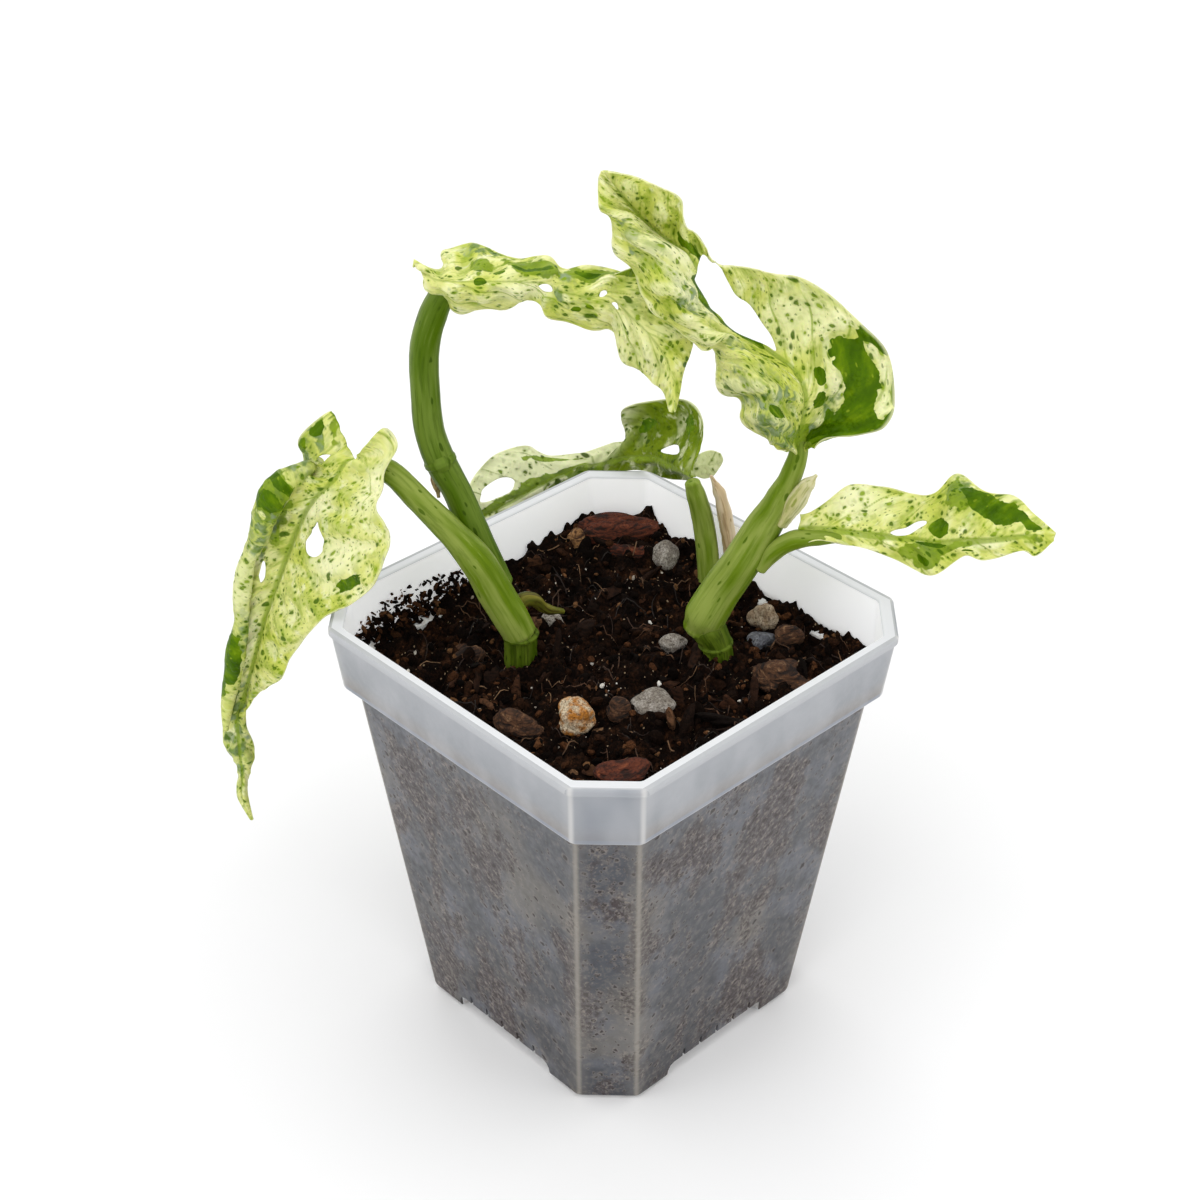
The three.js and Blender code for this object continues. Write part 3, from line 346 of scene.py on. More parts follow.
def between(tree, value, low, high, at_low=0.0, at_high=1.0):
    """A soft step from one value to another."""
    inputs = (value, low, high, at_low, at_high)
    return node(tree, "MapRange", inputs, interpolation_type="SMOOTHSTEP").outputs[0]


def blend_of(tree, share, first, second):
    """Two colours mixed by a mask."""
    mixed = node(tree, "Mix", data_type="RGBA", blend_type="MIX", clamp_factor=True)
    for key, value in ((0, share), (6, first), (7, second)):
        if isinstance(value, bpy.types.NodeSocket):
            tree.links.new(value, mixed.inputs[key])
        else:
            mixed.inputs[key].default_value = value
    return mixed.outputs[2]


def layered(tree, colour, *coats):
    """A colour under coats of others, each where its mask lies in its span (low, high, at low, at high)."""
    for mask, span, over in coats:
        colour = blend_of(tree, between(tree, mask, *span), colour, over)
    return colour


def millimetres(tree):
    """Places on the object, in millimetres."""
    place = node(tree, "TexCoord").outputs["Object"]
    return node(tree, "VectorMath", {0: place, "Scale": 1000}, operation="SCALE").outputs[0]


def grain_of(tree, vector, scale, detail=3.0, roughness=0.55, distortion=0.0):
    """Cloudy variation from 0 to 1."""
    inputs = {
        "Vector": vector, "Scale": scale, "Detail": detail,
        "Roughness": roughness, "Distortion": distortion,
    }
    return node(tree, "TexNoise", inputs).outputs["Fac"]


def new_group(name, inputs, outputs):
    """A shader node group with named sockets, and its two ends."""
    tree = bpy.data.node_groups.new(name, "ShaderNodeTree")
    kinds = {"vector": "NodeSocketVector", "number": "NodeSocketFloat", "colour": "NodeSocketColor"}
    for label, (kind, value) in inputs.items():
        socket = tree.interface.new_socket(name=label, in_out="INPUT", socket_type=kinds[kind])
        if value is not None:
            socket.default_value = value
    for label, kind in outputs.items():
        tree.interface.new_socket(name=label, in_out="OUTPUT", socket_type=kinds[kind])
    return tree, tree.nodes.new("NodeGroupInput"), tree.nodes.new("NodeGroupOutput")


# Separate specks: each cell holds one or none, of its own size, with a ragged edge.
flecks, given, made = new_group(
    "flecks",
    {
        "Vector": ("vector", None), "Share": ("number", 0.5), "Size": ("number", 0.3),
        "Warp": ("number", 0.2),
    },
    {"Mask": "number", "Halo": "number"},
)
ragged = node(flecks, "TexNoise", {"Vector": given.outputs["Vector"], "Scale": 1.9, "Detail": 0.0})
bent = node(flecks, "VectorMath", (ragged.outputs["Color"], (0.5, 0.5, 0.5)), operation="SUBTRACT")
bent = node(flecks, "VectorMath", {0: bent.outputs[0], "Scale": given.outputs["Warp"]}, operation="SCALE")
bent = node(flecks, "VectorMath", (bent.outputs[0], given.outputs["Vector"]), operation="ADD")
cells = node(flecks, "TexVoronoi", {"Vector": bent.outputs[0], "Scale": 1.0})
chance = node(flecks, "SeparateColor", (cells.outputs["Color"],))
holds = reckon(flecks, "LESS_THAN", chance.outputs[0], given.outputs["Share"])
reach = reckon(flecks, "MULTIPLY_ADD", chance.outputs[1], 0.8, 0.6)
reach = times(flecks, reach, given.outputs["Size"])
inner = times(flecks, reach, 0.62)
spot = between(flecks, cells.outputs["Distance"], inner, reach, 1.0, 0.0)
flecks.links.new(times(flecks, spot, holds), made.inputs["Mask"])
around = between(flecks, cells.outputs["Distance"], reach, times(flecks, reach, 1.7), 1.0, 0.0)
flecks.links.new(times(flecks, around, holds), made.inputs["Halo"])


def ringed_flecks(tree, vector, share, size, warp=0.25):
    """The masks of separate specks over a material, and of the halo about each."""
    inputs = {"Vector": vector, "Share": share, "Size": size, "Warp": warp}
    made = node(tree, "Group", inputs, node_tree=flecks)
    return made.outputs["Mask"], made.outputs["Halo"]


def flecks_on(tree, vector, share, size, warp=0.25):
    """The mask of separate specks over a material."""
    return ringed_flecks(tree, vector, share, size, warp)[0]


def stretched(tree, vector, scale):
    """A vector scaled along its three axes."""
    return node(tree, "VectorMath", (vector, scale), operation="MULTIPLY").outputs[0]


def ramp(tree, value, stops):
    """A run of colours along a value from 0 to 1."""
    made = node(tree, "ValToRGB", (value,))
    band = made.color_ramp
    band.interpolation = "LINEAR"
    while len(band.elements) < len(stops):
        band.elements.new(0.5)
    for element, (place, colour) in zip(band.elements, stops):
        element.position = place
        element.color = colour
    return made.outputs["Color"]


def relief(tree, shader, height, distance, strength=1.0):
    """Fine relief in a finish, its height in metres."""
    bump = node(tree, "Bump", {"Height": height, "Distance": distance, "Strength": strength})
    tree.links.new(bump.outputs[0], shader.inputs["Normal"])


frosted, tree, shader = finish_of(
    "frosted_plastic", roughness=0.4, IOR=1.49, Specular_IOR_Level=0.3, Transmission_Weight=0.12,
    Subsurface_Weight=0.25, Subsurface_Radius=(1, 1, 1), Subsurface_Scale=0.0025, Emission_Strength=1.0,
)
place = millimetres(tree)
parts = node(tree, "SeparateXYZ", (place,))
side_x = reckon(tree, "ABSOLUTE", parts.outputs[0])
side_y = reckon(tree, "ABSOLUTE", parts.outputs[1])
height = parts.outputs[2]

# The distance to the nearest upright edge, where a wall meets a cut corner.
body_half = reckon(tree, "MULTIPLY_ADD", height, (WALL_TOP_HALF - BASE_HALF) / COLLAR_BOTTOM, BASE_HALF)
collar_slope = (RIM_HALF - LIP_STEP - COLLAR_HALF) / (POT_HEIGHT - LIP_HEIGHT - COLLAR_BOTTOM)
collar_half = reckon(tree, "SUBTRACT", height, COLLAR_BOTTOM)
collar_half = reckon(tree, "MULTIPLY_ADD", collar_half, collar_slope, COLLAR_HALF)
on_collar = reckon(tree, "GREATER_THAN", height, COLLAR_BOTTOM - 0.4)
half = between(tree, on_collar, 0, 1, body_half, collar_half)
leg = between(tree, on_collar, 0, 1, 8.6, 9.5)
inset = reckon(tree, "SUBTRACT", half, leg)


def reach_from(along, across):
    """How far a point is from one upright edge."""
    a = reckon(tree, "POWER", reckon(tree, "SUBTRACT", along, half), 2)
    b = reckon(tree, "POWER", reckon(tree, "SUBTRACT", across, inset), 2)
    return reckon(tree, "SQRT", reckon(tree, "ADD", a, b))


to_edge = reckon(tree, "MINIMUM", reach_from(side_x, side_y), reach_from(side_y, side_x))
sum_xy = reckon(tree, "ADD", side_x, side_y)
edge_sum = reckon(tree, "ADD", half, inset)
on_corner = reckon(tree, "GREATER_THAN", sum_xy, reckon(tree, "ADD", edge_sum, -0.5))

# The mix shows through the body as a cool grey, clouded and streaked along the flow of the plastic.
# Over the lowest few millimetres, at the feet, the ramp is painted darker as shade under the pot.
wall = ramp(tree, reckon(tree, "DIVIDE", height, COLLAR_BOTTOM), [
    (0.0, paint(46, 45, 48)), (0.05, paint(66, 66, 70)), (0.5, paint(78, 80, 85)),
    (0.93, paint(86, 88, 93)), (1.0, paint(100, 103, 110)),
])
clouds = grain_of(tree, place, 0.06, detail=2.0)
to_diagonal = {"Vector": place, "Axis": (1, -1, 0), "Angle": math.acos(1 / math.sqrt(3))}
flow = node(tree, "VectorRotate", to_diagonal)
drawn = stretched(tree, flow.outputs[0], (1.0, 1.0, 0.4))
blotch = grain_of(tree, stretched(tree, place, (1, 1, 0.55)), 0.085, detail=3.0, roughness=0.62)
mottle = grain_of(tree, drawn, 0.5, detail=3.0, roughness=0.7)
cream = grain_of(tree, place, 0.045, detail=1.0)
# The cut corners are painted darker and bluer: painted shade, as on the corner facing the lens.
wall = layered(
    tree, wall,
    (on_corner, (0, 1, 0.0, 0.6), paint(64, 68, 78)),
    (clouds, (0.48, 0.64, 0.0, 0.7), paint(104, 107, 115)),
    (blotch, (0.5, 0.6, 0.0, 0.7), paint(74, 64, 64)),
    (mottle, (0.5, 0.66, 0.0, 0.35), paint(132, 126, 118)),
    (mottle, (0.36, 0.46, 0.4, 0.0), paint(56, 52, 54)),
    (cream, (0.56, 0.7, 0.0, 0.5), paint(124, 118, 108)),
)

# Bits of bark lie against the wall, dark, each with a pale rim where it touches the plastic.
crowd = between(tree, blotch, 0.4, 0.6, 0.16, 0.8)
for spacing, reach, share in ((0.62, 0.3, 0.95), (1.1, 0.3, 0.8)):
    bits, rims = ringed_flecks(tree, stretched(tree, drawn, (spacing,) * 3), crowd, reach, 0.5)
    wall = blend_of(tree, times(tree, rims, 0.3 * share), wall, paint(156, 146, 138))
    wall = blend_of(tree, times(tree, bits, share), wall, paint(34, 25, 24))
clump = grain_of(tree, drawn, 1.1, detail=3.0, roughness=0.65)
clustered = between(tree, reckon(tree, "ADD", blotch, between(tree, height, 0, 30, 0.05, 0.0)), 0.5, 0.6)
clustered = times(tree, clustered, between(tree, clump, 0.5, 0.56, 0.0, 0.85))
wall = blend_of(tree, clustered, wall, paint(54, 42, 42))
glimmer = times(tree, between(tree, blotch, 0.44, 0.56), between(tree, clump, 0.36, 0.42, 0.45, 0.0))
wall = blend_of(tree, glimmer, wall, paint(164, 152, 138))

# The collar and lip stand clear of the mix and stay milky, with the steps of the mould as bands.
collar_span = POT_HEIGHT + 0.5 - COLLAR_BOTTOM


def collar_at(z):
    """The place of a height in the run of colours of the collar."""
    return (z - COLLAR_BOTTOM + 0.5) / (collar_span + 0.5)


up_collar = reckon(tree, "DIVIDE", reckon(tree, "ADD", height, 0.5 - COLLAR_BOTTOM), collar_span + 0.5)
# The palest band, at the very foot of the collar, is a painted highlight.
collar = ramp(tree, up_collar, [
    (0.0, paint(216, 217, 221)), (collar_at(81.95), paint(216, 217, 221)),
    (collar_at(82.1), paint(146, 152, 164)), (collar_at(82.8), paint(148, 154, 166)),
    (collar_at(83.1), paint(148, 144, 142)), (collar_at(85.0), paint(152, 151, 152)),
    (collar_at(87.0), paint(152, 155, 160)), (collar_at(94.0), paint(165, 168, 173)),
    (collar_at(94.8), paint(184, 186, 189)), (1.0, paint(188, 190, 193)),
])
# The cut corners of the collar are painted darker too: painted shade.
collar = blend_of(tree, between(tree, on_corner, 0, 1, 0.0, 0.62), collar, paint(140, 145, 154))
haze = grain_of(tree, stretched(tree, place, (1, 1, 0.5)), 0.12, detail=1.0)
collar = blend_of(tree, between(tree, haze, 0.42, 0.66, 0.0, 0.4), collar, paint(184, 186, 190))
body_colour = blend_of(tree, on_collar, wall, collar)
# Along the upright edges a painted highlight, cream on the body and near white on the collar, fades out
# over a few millimetres.
edge_highlight = blend_of(tree, on_collar, paint(160, 154, 144), paint(214, 213, 211))
body_colour = blend_of(tree, between(tree, to_edge, 0.4, 3.5, 0.16, 0.0), body_colour, edge_highlight)
body_colour = blend_of(tree, between(tree, to_edge, 0.1, 0.95, 0.75, 0.0), body_colour, edge_highlight)

# Inside, above the mix, the walls are nearly white, with a film of fine dirt close to it.
widest = reckon(tree, "MAXIMUM", side_x, side_y)
inner_side = reckon(tree, "LESS_THAN", widest, reckon(tree, "ADD", half, -0.7))
inner_corner = reckon(tree, "LESS_THAN", sum_xy, reckon(tree, "ADD", edge_sum, -1.0))
inside = times(tree, inner_side, inner_corner)
film = grain_of(tree, place, 0.8, detail=3.0, roughness=0.7)
low = between(tree, height, 82.5, 88, 0.16, -0.1)
dusty = between(tree, reckon(tree, "ADD", film, low), 0.62, 0.72, 0.0, 0.5)
clean = ramp(tree, reckon(tree, "DIVIDE", reckon(tree, "ADD", height, -80), 17), [
    (0.0, paint(238, 238, 240)), (0.5, paint(246, 246, 248)), (1.0, paint(250, 250, 252)),
])
inner_wall = blend_of(tree, dusty, clean, paint(196, 186, 178))
lip = reckon(tree, "GREATER_THAN", height, POT_HEIGHT - 0.5)
inner_wall = blend_of(tree, lip, inner_wall, paint(188, 190, 193))
pot_colour = blend_of(tree, inside, body_colour, inner_wall)
# Above the mix the inner walls glow faintly: painted light, standing in for light through the wall.
above_mix = times(tree, inside, between(tree, height, 82.8, 84.5))
painted_glow = blend_of(tree, above_mix, (0, 0, 0, 1), (0.27, 0.27, 0.272, 1))
tree.links.new(painted_glow, shader.inputs["Emission Color"])
tree.links.new(pot_colour, shader.inputs["Base Color"])
sheen = grain_of(tree, place, 0.6, detail=2.0)
tree.links.new(between(tree, sheen, 0.3, 0.7, 0.36, 0.5), shader.inputs["Roughness"])
relief(tree, shader, grain_of(tree, place, 1.4, detail=1.0), 0.00006, 0.5)
frosted.cycles.emission_sampling = "NONE"
pot.data.materials.append(frosted)
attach(pot, "root")
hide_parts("pot")

# Potting mix
# Dark peat and coir with fine bark, perlite and loose fibres, filled to about 16 mm below the rim and
# 4 mm higher at the back. The body fills the pot; the crumbs, fibres and white grains lie on it.
SOIL_LEVEL = 80.5
SOIL_RISE = 0.075
GAP = 0.3
SOIL_CELLS = 184
SOIL_REACH = 43.0
FLOOR_OF_MIX = 5.6
LEDGE_COVER = 83.9
LEDGE_CHAMFER = 8.7


def soil_height(x, y):
    """The level of the mix under a place as seen over the front corner, in millimetres."""
    lumps = 0
    for i in range(12):
        wave = 17 * 0.86 ** i
        along = x * math.cos(2.4 * i) + y * math.sin(2.4 * i)
        lumps = lumps + 0.034 * wave * np.sin(along * 2 * math.pi / wave + 1.7 * i)
    t = np.clip((y - 20) / 30, 0, 1)
    corner = 2.6 * np.exp(-((x - 47) ** 2 + (y - 3) ** 2) / 70)
    return SOIL_LEVEL + SOIL_RISE * y + 1.6 * t * t * (3 - 2 * t) + lumps + corner


def seen_over_corner(x, y):
    """Places along the walls of the pot, turned to the plant's own layout."""
    c, s = math.cos(POT_TURN), math.sin(POT_TURN)
    return c * x - s * y, s * x + c * y


def bank(x, y):
    """How far the mix is drawn up along the back walls."""
    to_wall = RIM_INNER_HALF - np.maximum(np.abs(x), np.abs(y))
    t = np.clip((seen_over_corner(x, y)[1] + 10) / 15, 0, 1)
    return 2.4 * np.exp(-np.maximum(to_wall, 0) / 2.2) * t * t * (3 - 2 * t)


def over_ledge(x, y):
    """The level of the mix that hides the ledge of the collar, along the back walls and corners."""
    far_x, far_y = np.abs(x), np.abs(y)
    to_wall = RIM_INNER_HALF - np.maximum(far_x, far_y)
    to_corner = (2 * RIM_INNER_HALF - LEDGE_CHAMFER - far_x - far_y) / math.sqrt(2)
    t = np.clip((seen_over_corner(x, y)[1] + 12) / 12, 0, 1)
    return LEDGE_COVER - 1.1 * np.maximum(np.minimum(to_wall, to_corner), 0) - 8 * (1 - t)


INNER_HEIGHTS = (WALL + 0.2, COLLAR_BOTTOM + 0.5, COLLAR_BOTTOM + 1.5, POT_HEIGHT + 2)
INNER_HALVES = (wall_half(0) - WALL, wall_half(COLLAR_BOTTOM) - WALL, COLLAR_HALF - WALL, RIM_INNER_HALF)
INNER_CHAMFERS = (8.3, 7.8, 8.5, 8.9)


def inner_half(z):
    """Half the width of the space inside the pot at a height."""
    return np.interp(z, INNER_HEIGHTS, INNER_HALVES)


def inner_chamfer(z):
    """The cut of the corners of the space inside the pot at a height."""
    return np.interp(z, INNER_HEIGHTS, INNER_CHAMFERS)


def within_pot(x, y, z, gap=GAP):
    """Draws places in to the inside of the wall at their height."""
    h = inner_half(z) - gap
    x, y = np.clip(x, -h, h), np.clip(y, -h, h)
    over = np.maximum(np.abs(x) + np.abs(y) - (2 * h - inner_chamfer(z)), 0) / 2
    return x - np.sign(x) * over, y - np.sign(y) * over


def rumple(points, wave, seed, count=12):
    """Smooth lumps of about one wavelength over points, the same on every run."""
    draw = np.random.default_rng(seed)
    total = np.zeros(len(points))
    for _ in range(count):
        heading = draw.normal(size=3)
        heading *= 2 * math.pi / (np.linalg.norm(heading) * wave * draw.uniform(0.75, 1.35))
        total += np.sin(points @ heading + draw.uniform(0, 2 * math.pi))
    return total / math.sqrt(count)


def soil_top(x, y):
    """The finished surface: the level with clods and crumbs in it."""
    level = soil_height(*seen_over_corner(x, y)) + bank(x, y)
    flat = np.column_stack((x, y, np.zeros(len(x))))
    clods = 0.75 * rumple(flat, 6, 1) + 0.85 * np.abs(rumple(flat, 3.4, 2)) + 0.3 * rumple(flat, 1.5, 3)
    return np.maximum(level + clods - 0.6, over_ledge(x, y) + 0.3 * clods)


line = np.linspace(-SOIL_REACH, SOIL_REACH, SOIL_CELLS + 1)
grid_x, grid_y = (a.ravel() for a in np.meshgrid(line, line))
first_level = soil_height(*seen_over_corner(grid_x, grid_y)) + bank(grid_x, grid_y)
soil_x, soil_y = within_pot(grid_x, grid_y, first_level)
kept = (np.abs(soil_x - grid_x) + np.abs(soil_y - grid_y)) < 1e-9
soil_z = soil_top(soil_x, soil_y)
width = SOIL_CELLS + 1
faces = []
for i in range(SOIL_CELLS):
    for j in range(SOIL_CELLS):
        a = i * width + j
        corners = (a, a + 1, a + 1 + width, a + width)
        if any(kept[k] for k in corners):
            faces.append(corners)


def open_edges(cells):
    """The edges that only one cell uses, each in its cell's own order."""
    found = {}
    for cell in cells:
        for k, first in enumerate(cell):
            second = cell[(k + 1) % len(cell)]
            key = (min(first, second), max(first, second))
            found[key] = None if key in found else (first, second)
    return [edge for edge in found.values() if edge]


def drawn_down(x, y, z, level):
    """The places of the rim of the mix at a lower level, inside the wall."""
    low = np.minimum(z - 0.3, level)
    shrink = inner_half(low) / inner_half(z)
    return np.column_stack((*within_pot(x * shrink, y * shrink, low), low))


rim = open_edges(faces)
following = dict(rim)
loop = [rim[0][0]]
while following[loop[-1]] != loop[0]:
    loop.append(following[loop[-1]])
surface = np.column_stack((soil_x, soil_y, soil_z))
at_rim = surface[loop]
waist = drawn_down(*at_rim.T, COLLAR_BOTTOM - 0.2)
foot = drawn_down(*waist.T, FLOOR_OF_MIX)
start = len(surface)
count = len(loop)
for j in range(count):
    k = (j + 1) % count
    faces.append((loop[j], start + j, start + k, loop[k]))
    faces.append((start + j, start + count + j, start + count + k, start + k))
faces.append(tuple(start + count + j for j in range(count)))
mix = mesh_piece("potting_mix", np.concatenate((surface, waist, foot)) * MM, faces)
mesh = bmesh.new()
mesh.from_mesh(mix.data)
bmesh.ops.delete(mesh, geom=[v for v in mesh.verts if not v.link_faces], context="VERTS")
bmesh.ops.recalc_face_normals(mesh, faces=mesh.faces)
mesh.to_mesh(mix.data)
mesh.free()

peat, tree, shader = finish_of("peat_mix", roughness=0.93, Specular_IOR_Level=0.06)
place = millimetres(tree)
patches = grain_of(tree, place, 0.28, detail=4.0, roughness=0.7)
ground = ramp(tree, patches, [
    (0.3, paint(8, 4, 3)), (0.48, paint(24, 13, 8)), (0.6, paint(46, 27, 16)), (0.75, paint(88, 56, 36)),
])
fine = grain_of(tree, place, 1.9, detail=2.0, roughness=0.7)
ground = blend_of(tree, between(tree, fine, 0.35, 0.65, 0.8, 0.0), ground, paint(5, 3, 2))
specks = flecks_on(tree, stretched(tree, place, (1.6, 1.6, 1.6)), 0.08, 0.3, 0.6)
ground = blend_of(tree, times(tree, specks, 0.8), ground, paint(170, 146, 118))
tree.links.new(ground, shader.inputs["Base Color"])
relief(tree, shader, grain_of(tree, place, 1.3, detail=3.0, roughness=0.75), 0.0009, 0.9)
mix.data.materials.append(peat)
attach(mix, "root")
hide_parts("soil")


def round_lump(fineness):
    """The points and faces of a ball of triangles."""
    ball = bmesh.new()
    bmesh.ops.create_icosphere(ball, subdivisions=fineness, radius=1)
    points = np.array([v.co[:] for v in ball.verts])
    faces = [tuple(v.index for v in f.verts) for f in ball.faces]
    ball.free()
    return points, faces


def turned_at_random(draw):
    """A rotation with no preferred direction."""
    q = draw.normal(size=4)
    w, x, y, z = q / np.linalg.norm(q)
    return np.array((
        (1 - 2 * (y * y + z * z), 2 * (x * y - z * w), 2 * (x * z + y * w)),
        (2 * (x * y + z * w), 1 - 2 * (x * x + z * z), 2 * (y * z - x * w)),
        (2 * (x * z - y * w), 2 * (y * z + x * w), 1 - 2 * (x * x + y * y)),
    ))


def painted(piece, name, values):
    """Keeps one number for each point of a mesh, for its finish to read."""
    layer = piece.data.attributes.new(name, "FLOAT", "POINT")
    layer.data.foreach_set("value", np.asarray(values, dtype=np.float32))


def scattered_lumps(name, seed, places, sizes, shape, fineness=2, roughness=0.22):
    """Many small irregular lumps in one mesh, each with its own tone."""
    draw = np.random.default_rng(seed)
    ball, ball_faces = round_lump(fineness)
    points, faces, tones = [], [], []
    for place, size in zip(places, sizes):
        spin = turned_at_random(draw)
        bumps = 1 + roughness * rumple(ball, 1.7, int(draw.integers(1 << 30)), 5)
        lump = (ball * bumps[:, None] * shape * draw.uniform(0.75, 1.25, 3)) @ spin.T * size + place
        offset = len(points) * len(ball)
        faces += [tuple(offset + k for k in f) for f in ball_faces]
        points.append(lump)
        tones.append(np.full(len(ball), draw.random()))
    piece = mesh_piece(name, np.concatenate(points) * MM, faces, smooth=False)
    painted(piece, "tone", np.concatenate(tones))
    return piece


def places_on_mix(draw, count, margin=0.6):
    """Places over the whole surface of the mix, with their level."""
    x, y = [], []
    while len(x) < count:
        a, b = draw.uniform(-42, 42, 2)
        level = soil_height(*seen_over_corner(a, b)) + bank(a, b)
        c, d = within_pot(a, b, level, GAP + margin)
        if abs(a - c) + abs(b - d) < 1e-9:
            x.append(a)
            y.append(b)
    x, y = np.array(x), np.array(y)
    return np.column_stack((x, y, soil_top(x, y)))


# Crumbs of peat over the whole surface.
CRUMB_COUNT = 1900
draw = np.random.default_rng(5)
sizes = 0.32 + 0.5 * draw.random(CRUMB_COUNT) ** 2 + 0.9 * draw.random(CRUMB_COUNT) ** 9
places = places_on_mix(draw, CRUMB_COUNT)
places[:, 2] += sizes * 0.25
crumbs = scattered_lumps("crumbs", 6, places, sizes, np.array((1.2, 0.9, 0.8)))


def loose_finish(name, tones, worn, wear, grain, height, roughness=0.9, specular=0.5, strength=0.8):
    """A dry finish in the tone of each lump, worn where its grain (scale, detail, roughness) is low."""
    finish, tree, shader = finish_of(name, roughness=roughness, Specular_IOR_Level=specular)
    scale, detail, coarseness = grain
    place = stretched(tree, millimetres(tree), scale)
    fine = grain_of(tree, place, 1.0, detail=detail, roughness=coarseness)
    colour = ramp(tree, node(tree, "Attribute", attribute_name="tone").outputs["Fac"], tones)
    colour = blend_of(tree, between(tree, fine, *wear, 0.0), colour, worn)
    tree.links.new(colour, shader.inputs["Base Color"])
    relief(tree, shader, fine, height, strength)
    return finish


crumbly = loose_finish(
    "crumbs",
    [
        (0.0, paint(8, 5, 4)), (0.5, paint(26, 15, 9)), (0.78, paint(52, 31, 19)),
        (0.93, paint(92, 58, 36)),
        (1.0, paint(126, 90, 60)),
    ],
    worn=paint(5, 3, 2), wear=(0.35, 0.65, 0.6), grain=((2.2, 2.2, 2.2), 2.0, 0.7), height=0.0004,
    roughness=0.95, specular=0.06,
)
crumbs.data.materials.append(crumbly)
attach(crumbs, "root")

# Chips of bark in the mix, flat and angular.
CHIP_COUNT = 130
sizes = 0.7 + 1.9 * draw.random(CHIP_COUNT) ** 2.5
places = places_on_mix(draw, CHIP_COUNT, 2.0)
places[:, 2] += sizes * 0.2
chips = scattered_lumps(
    "bark_chips", 8, places, sizes, np.array((1.5, 0.75, 0.34)), fineness=3, roughness=0.42,
)
chipped = loose_finish(
    "bark_chips",
    [
        (0.0, paint(12, 7, 5)), (0.4, paint(34, 20, 13)), (0.7, paint(62, 38, 25)),
        (0.88, paint(92, 62, 42)),
        (1.0, paint(142, 108, 78)),
    ],
    worn=paint(10, 6, 4), wear=(0.38, 0.56, 0.75), grain=((0.5, 0.5, 1.8), 5.0, 0.65), height=0.0006,
    specular=0.1,
)
chips.data.materials.append(chipped)
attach(chips, "root")

# Wet mix was splashed up the left back wall and has dried on it.
SPLASH_COUNT = 860
SPLASH_ALONG = (-36, -31, -24, -14, -5, 0, 6, 14, 22, 27)
SPLASH_REACH = (3, 7, 9.5, 9, 7, 1.5, 2.2, 2.8, 2.0, 0.5)
SPLASH_FOOT = 82.6
along, up, sizes = [], [], []
while len(along) < SPLASH_COUNT:
    a, b = draw.uniform(SPLASH_ALONG[0], SPLASH_ALONG[-1]), draw.uniform(0, 1)
    reach = np.interp(a, SPLASH_ALONG, SPLASH_REACH)
    if draw.random() < (1 - b) ** 0.7 * (1.0 if a < 0 else 0.35):
        along.append(a)
        up.append(SPLASH_FOOT + b * reach)
        sizes.append((0.22 + 0.55 * draw.random() ** 2) * (1.3 - 0.5 * b))
along, up, sizes = np.array(along), np.array(up), np.array(sizes)
along += 0.9 * np.sin(up * 2.1 + along * 0.4)
places = np.column_stack((*within_pot(along, inner_half(up), up, gap=0.75 * sizes), up))
splash = scattered_lumps("wall_splashes", 9, places, sizes, np.array((1.7, 0.7, 0.7)), fineness=1)
splash.data.materials.append(crumbly)
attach(splash, "root")

# White grains of perlite.
GRAIN_COUNT = 110
sizes = 0.13 + 0.42 * draw.random(GRAIN_COUNT) ** 3
places = places_on_mix(draw, GRAIN_COUNT)
places[:, 2] += sizes * 0.5
grains = scattered_lumps("perlite_grains", 7, places, sizes, np.array((1.1, 0.95, 0.8)))
perlite = loose_finish(
    "perlite",
    [(0.0, paint(150, 138, 124)), (0.4, paint(206, 198, 186)), (1.0, paint(240, 237, 230))],
    worn=paint(120, 104, 88), wear=(0.3, 0.55, 0.6), grain=((2.6, 2.6, 2.6), 4.0, 0.7), height=0.0003,
)
grains.data.materials.append(perlite)
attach(grains, "root")


def thread(path, radii, sides):
    """The rings of a thin tube along a list of places."""
    path = np.asarray(path, float)
    tangents = np.gradient(path, axis=0)
    tangents /= np.linalg.norm(tangents, axis=1)[:, None]
    up = np.array((0.13, 0.29, 0.95))
    rings = []
    for centre, tangent, radius in zip(path, tangents, radii):
        up = up - tangent * (up @ tangent)
        up /= np.linalg.norm(up)
        across = np.cross(tangent, up)
        angles = np.arange(sides) * 2 * math.pi / sides
        rings.append(centre + radius * (np.outer(np.cos(angles), up) + np.outer(np.sin(angles), across)))
    return rings


def capped_tube(rings, offset):
    """Faces of a tube that is closed at both ends."""
    sides = len(rings[0])
    faces = []
    for i in range(len(rings) - 1):
        for j in range(sides):
            a = offset + i * sides + j
            b = offset + i * sides + (j + 1) % sides
            faces.append((a, b, b + sides, a + sides))
    last = offset + (len(rings) - 1) * sides
    faces.append(tuple(offset + j for j in reversed(range(sides))))
    faces.append(tuple(last + j for j in range(sides)))
    return faces


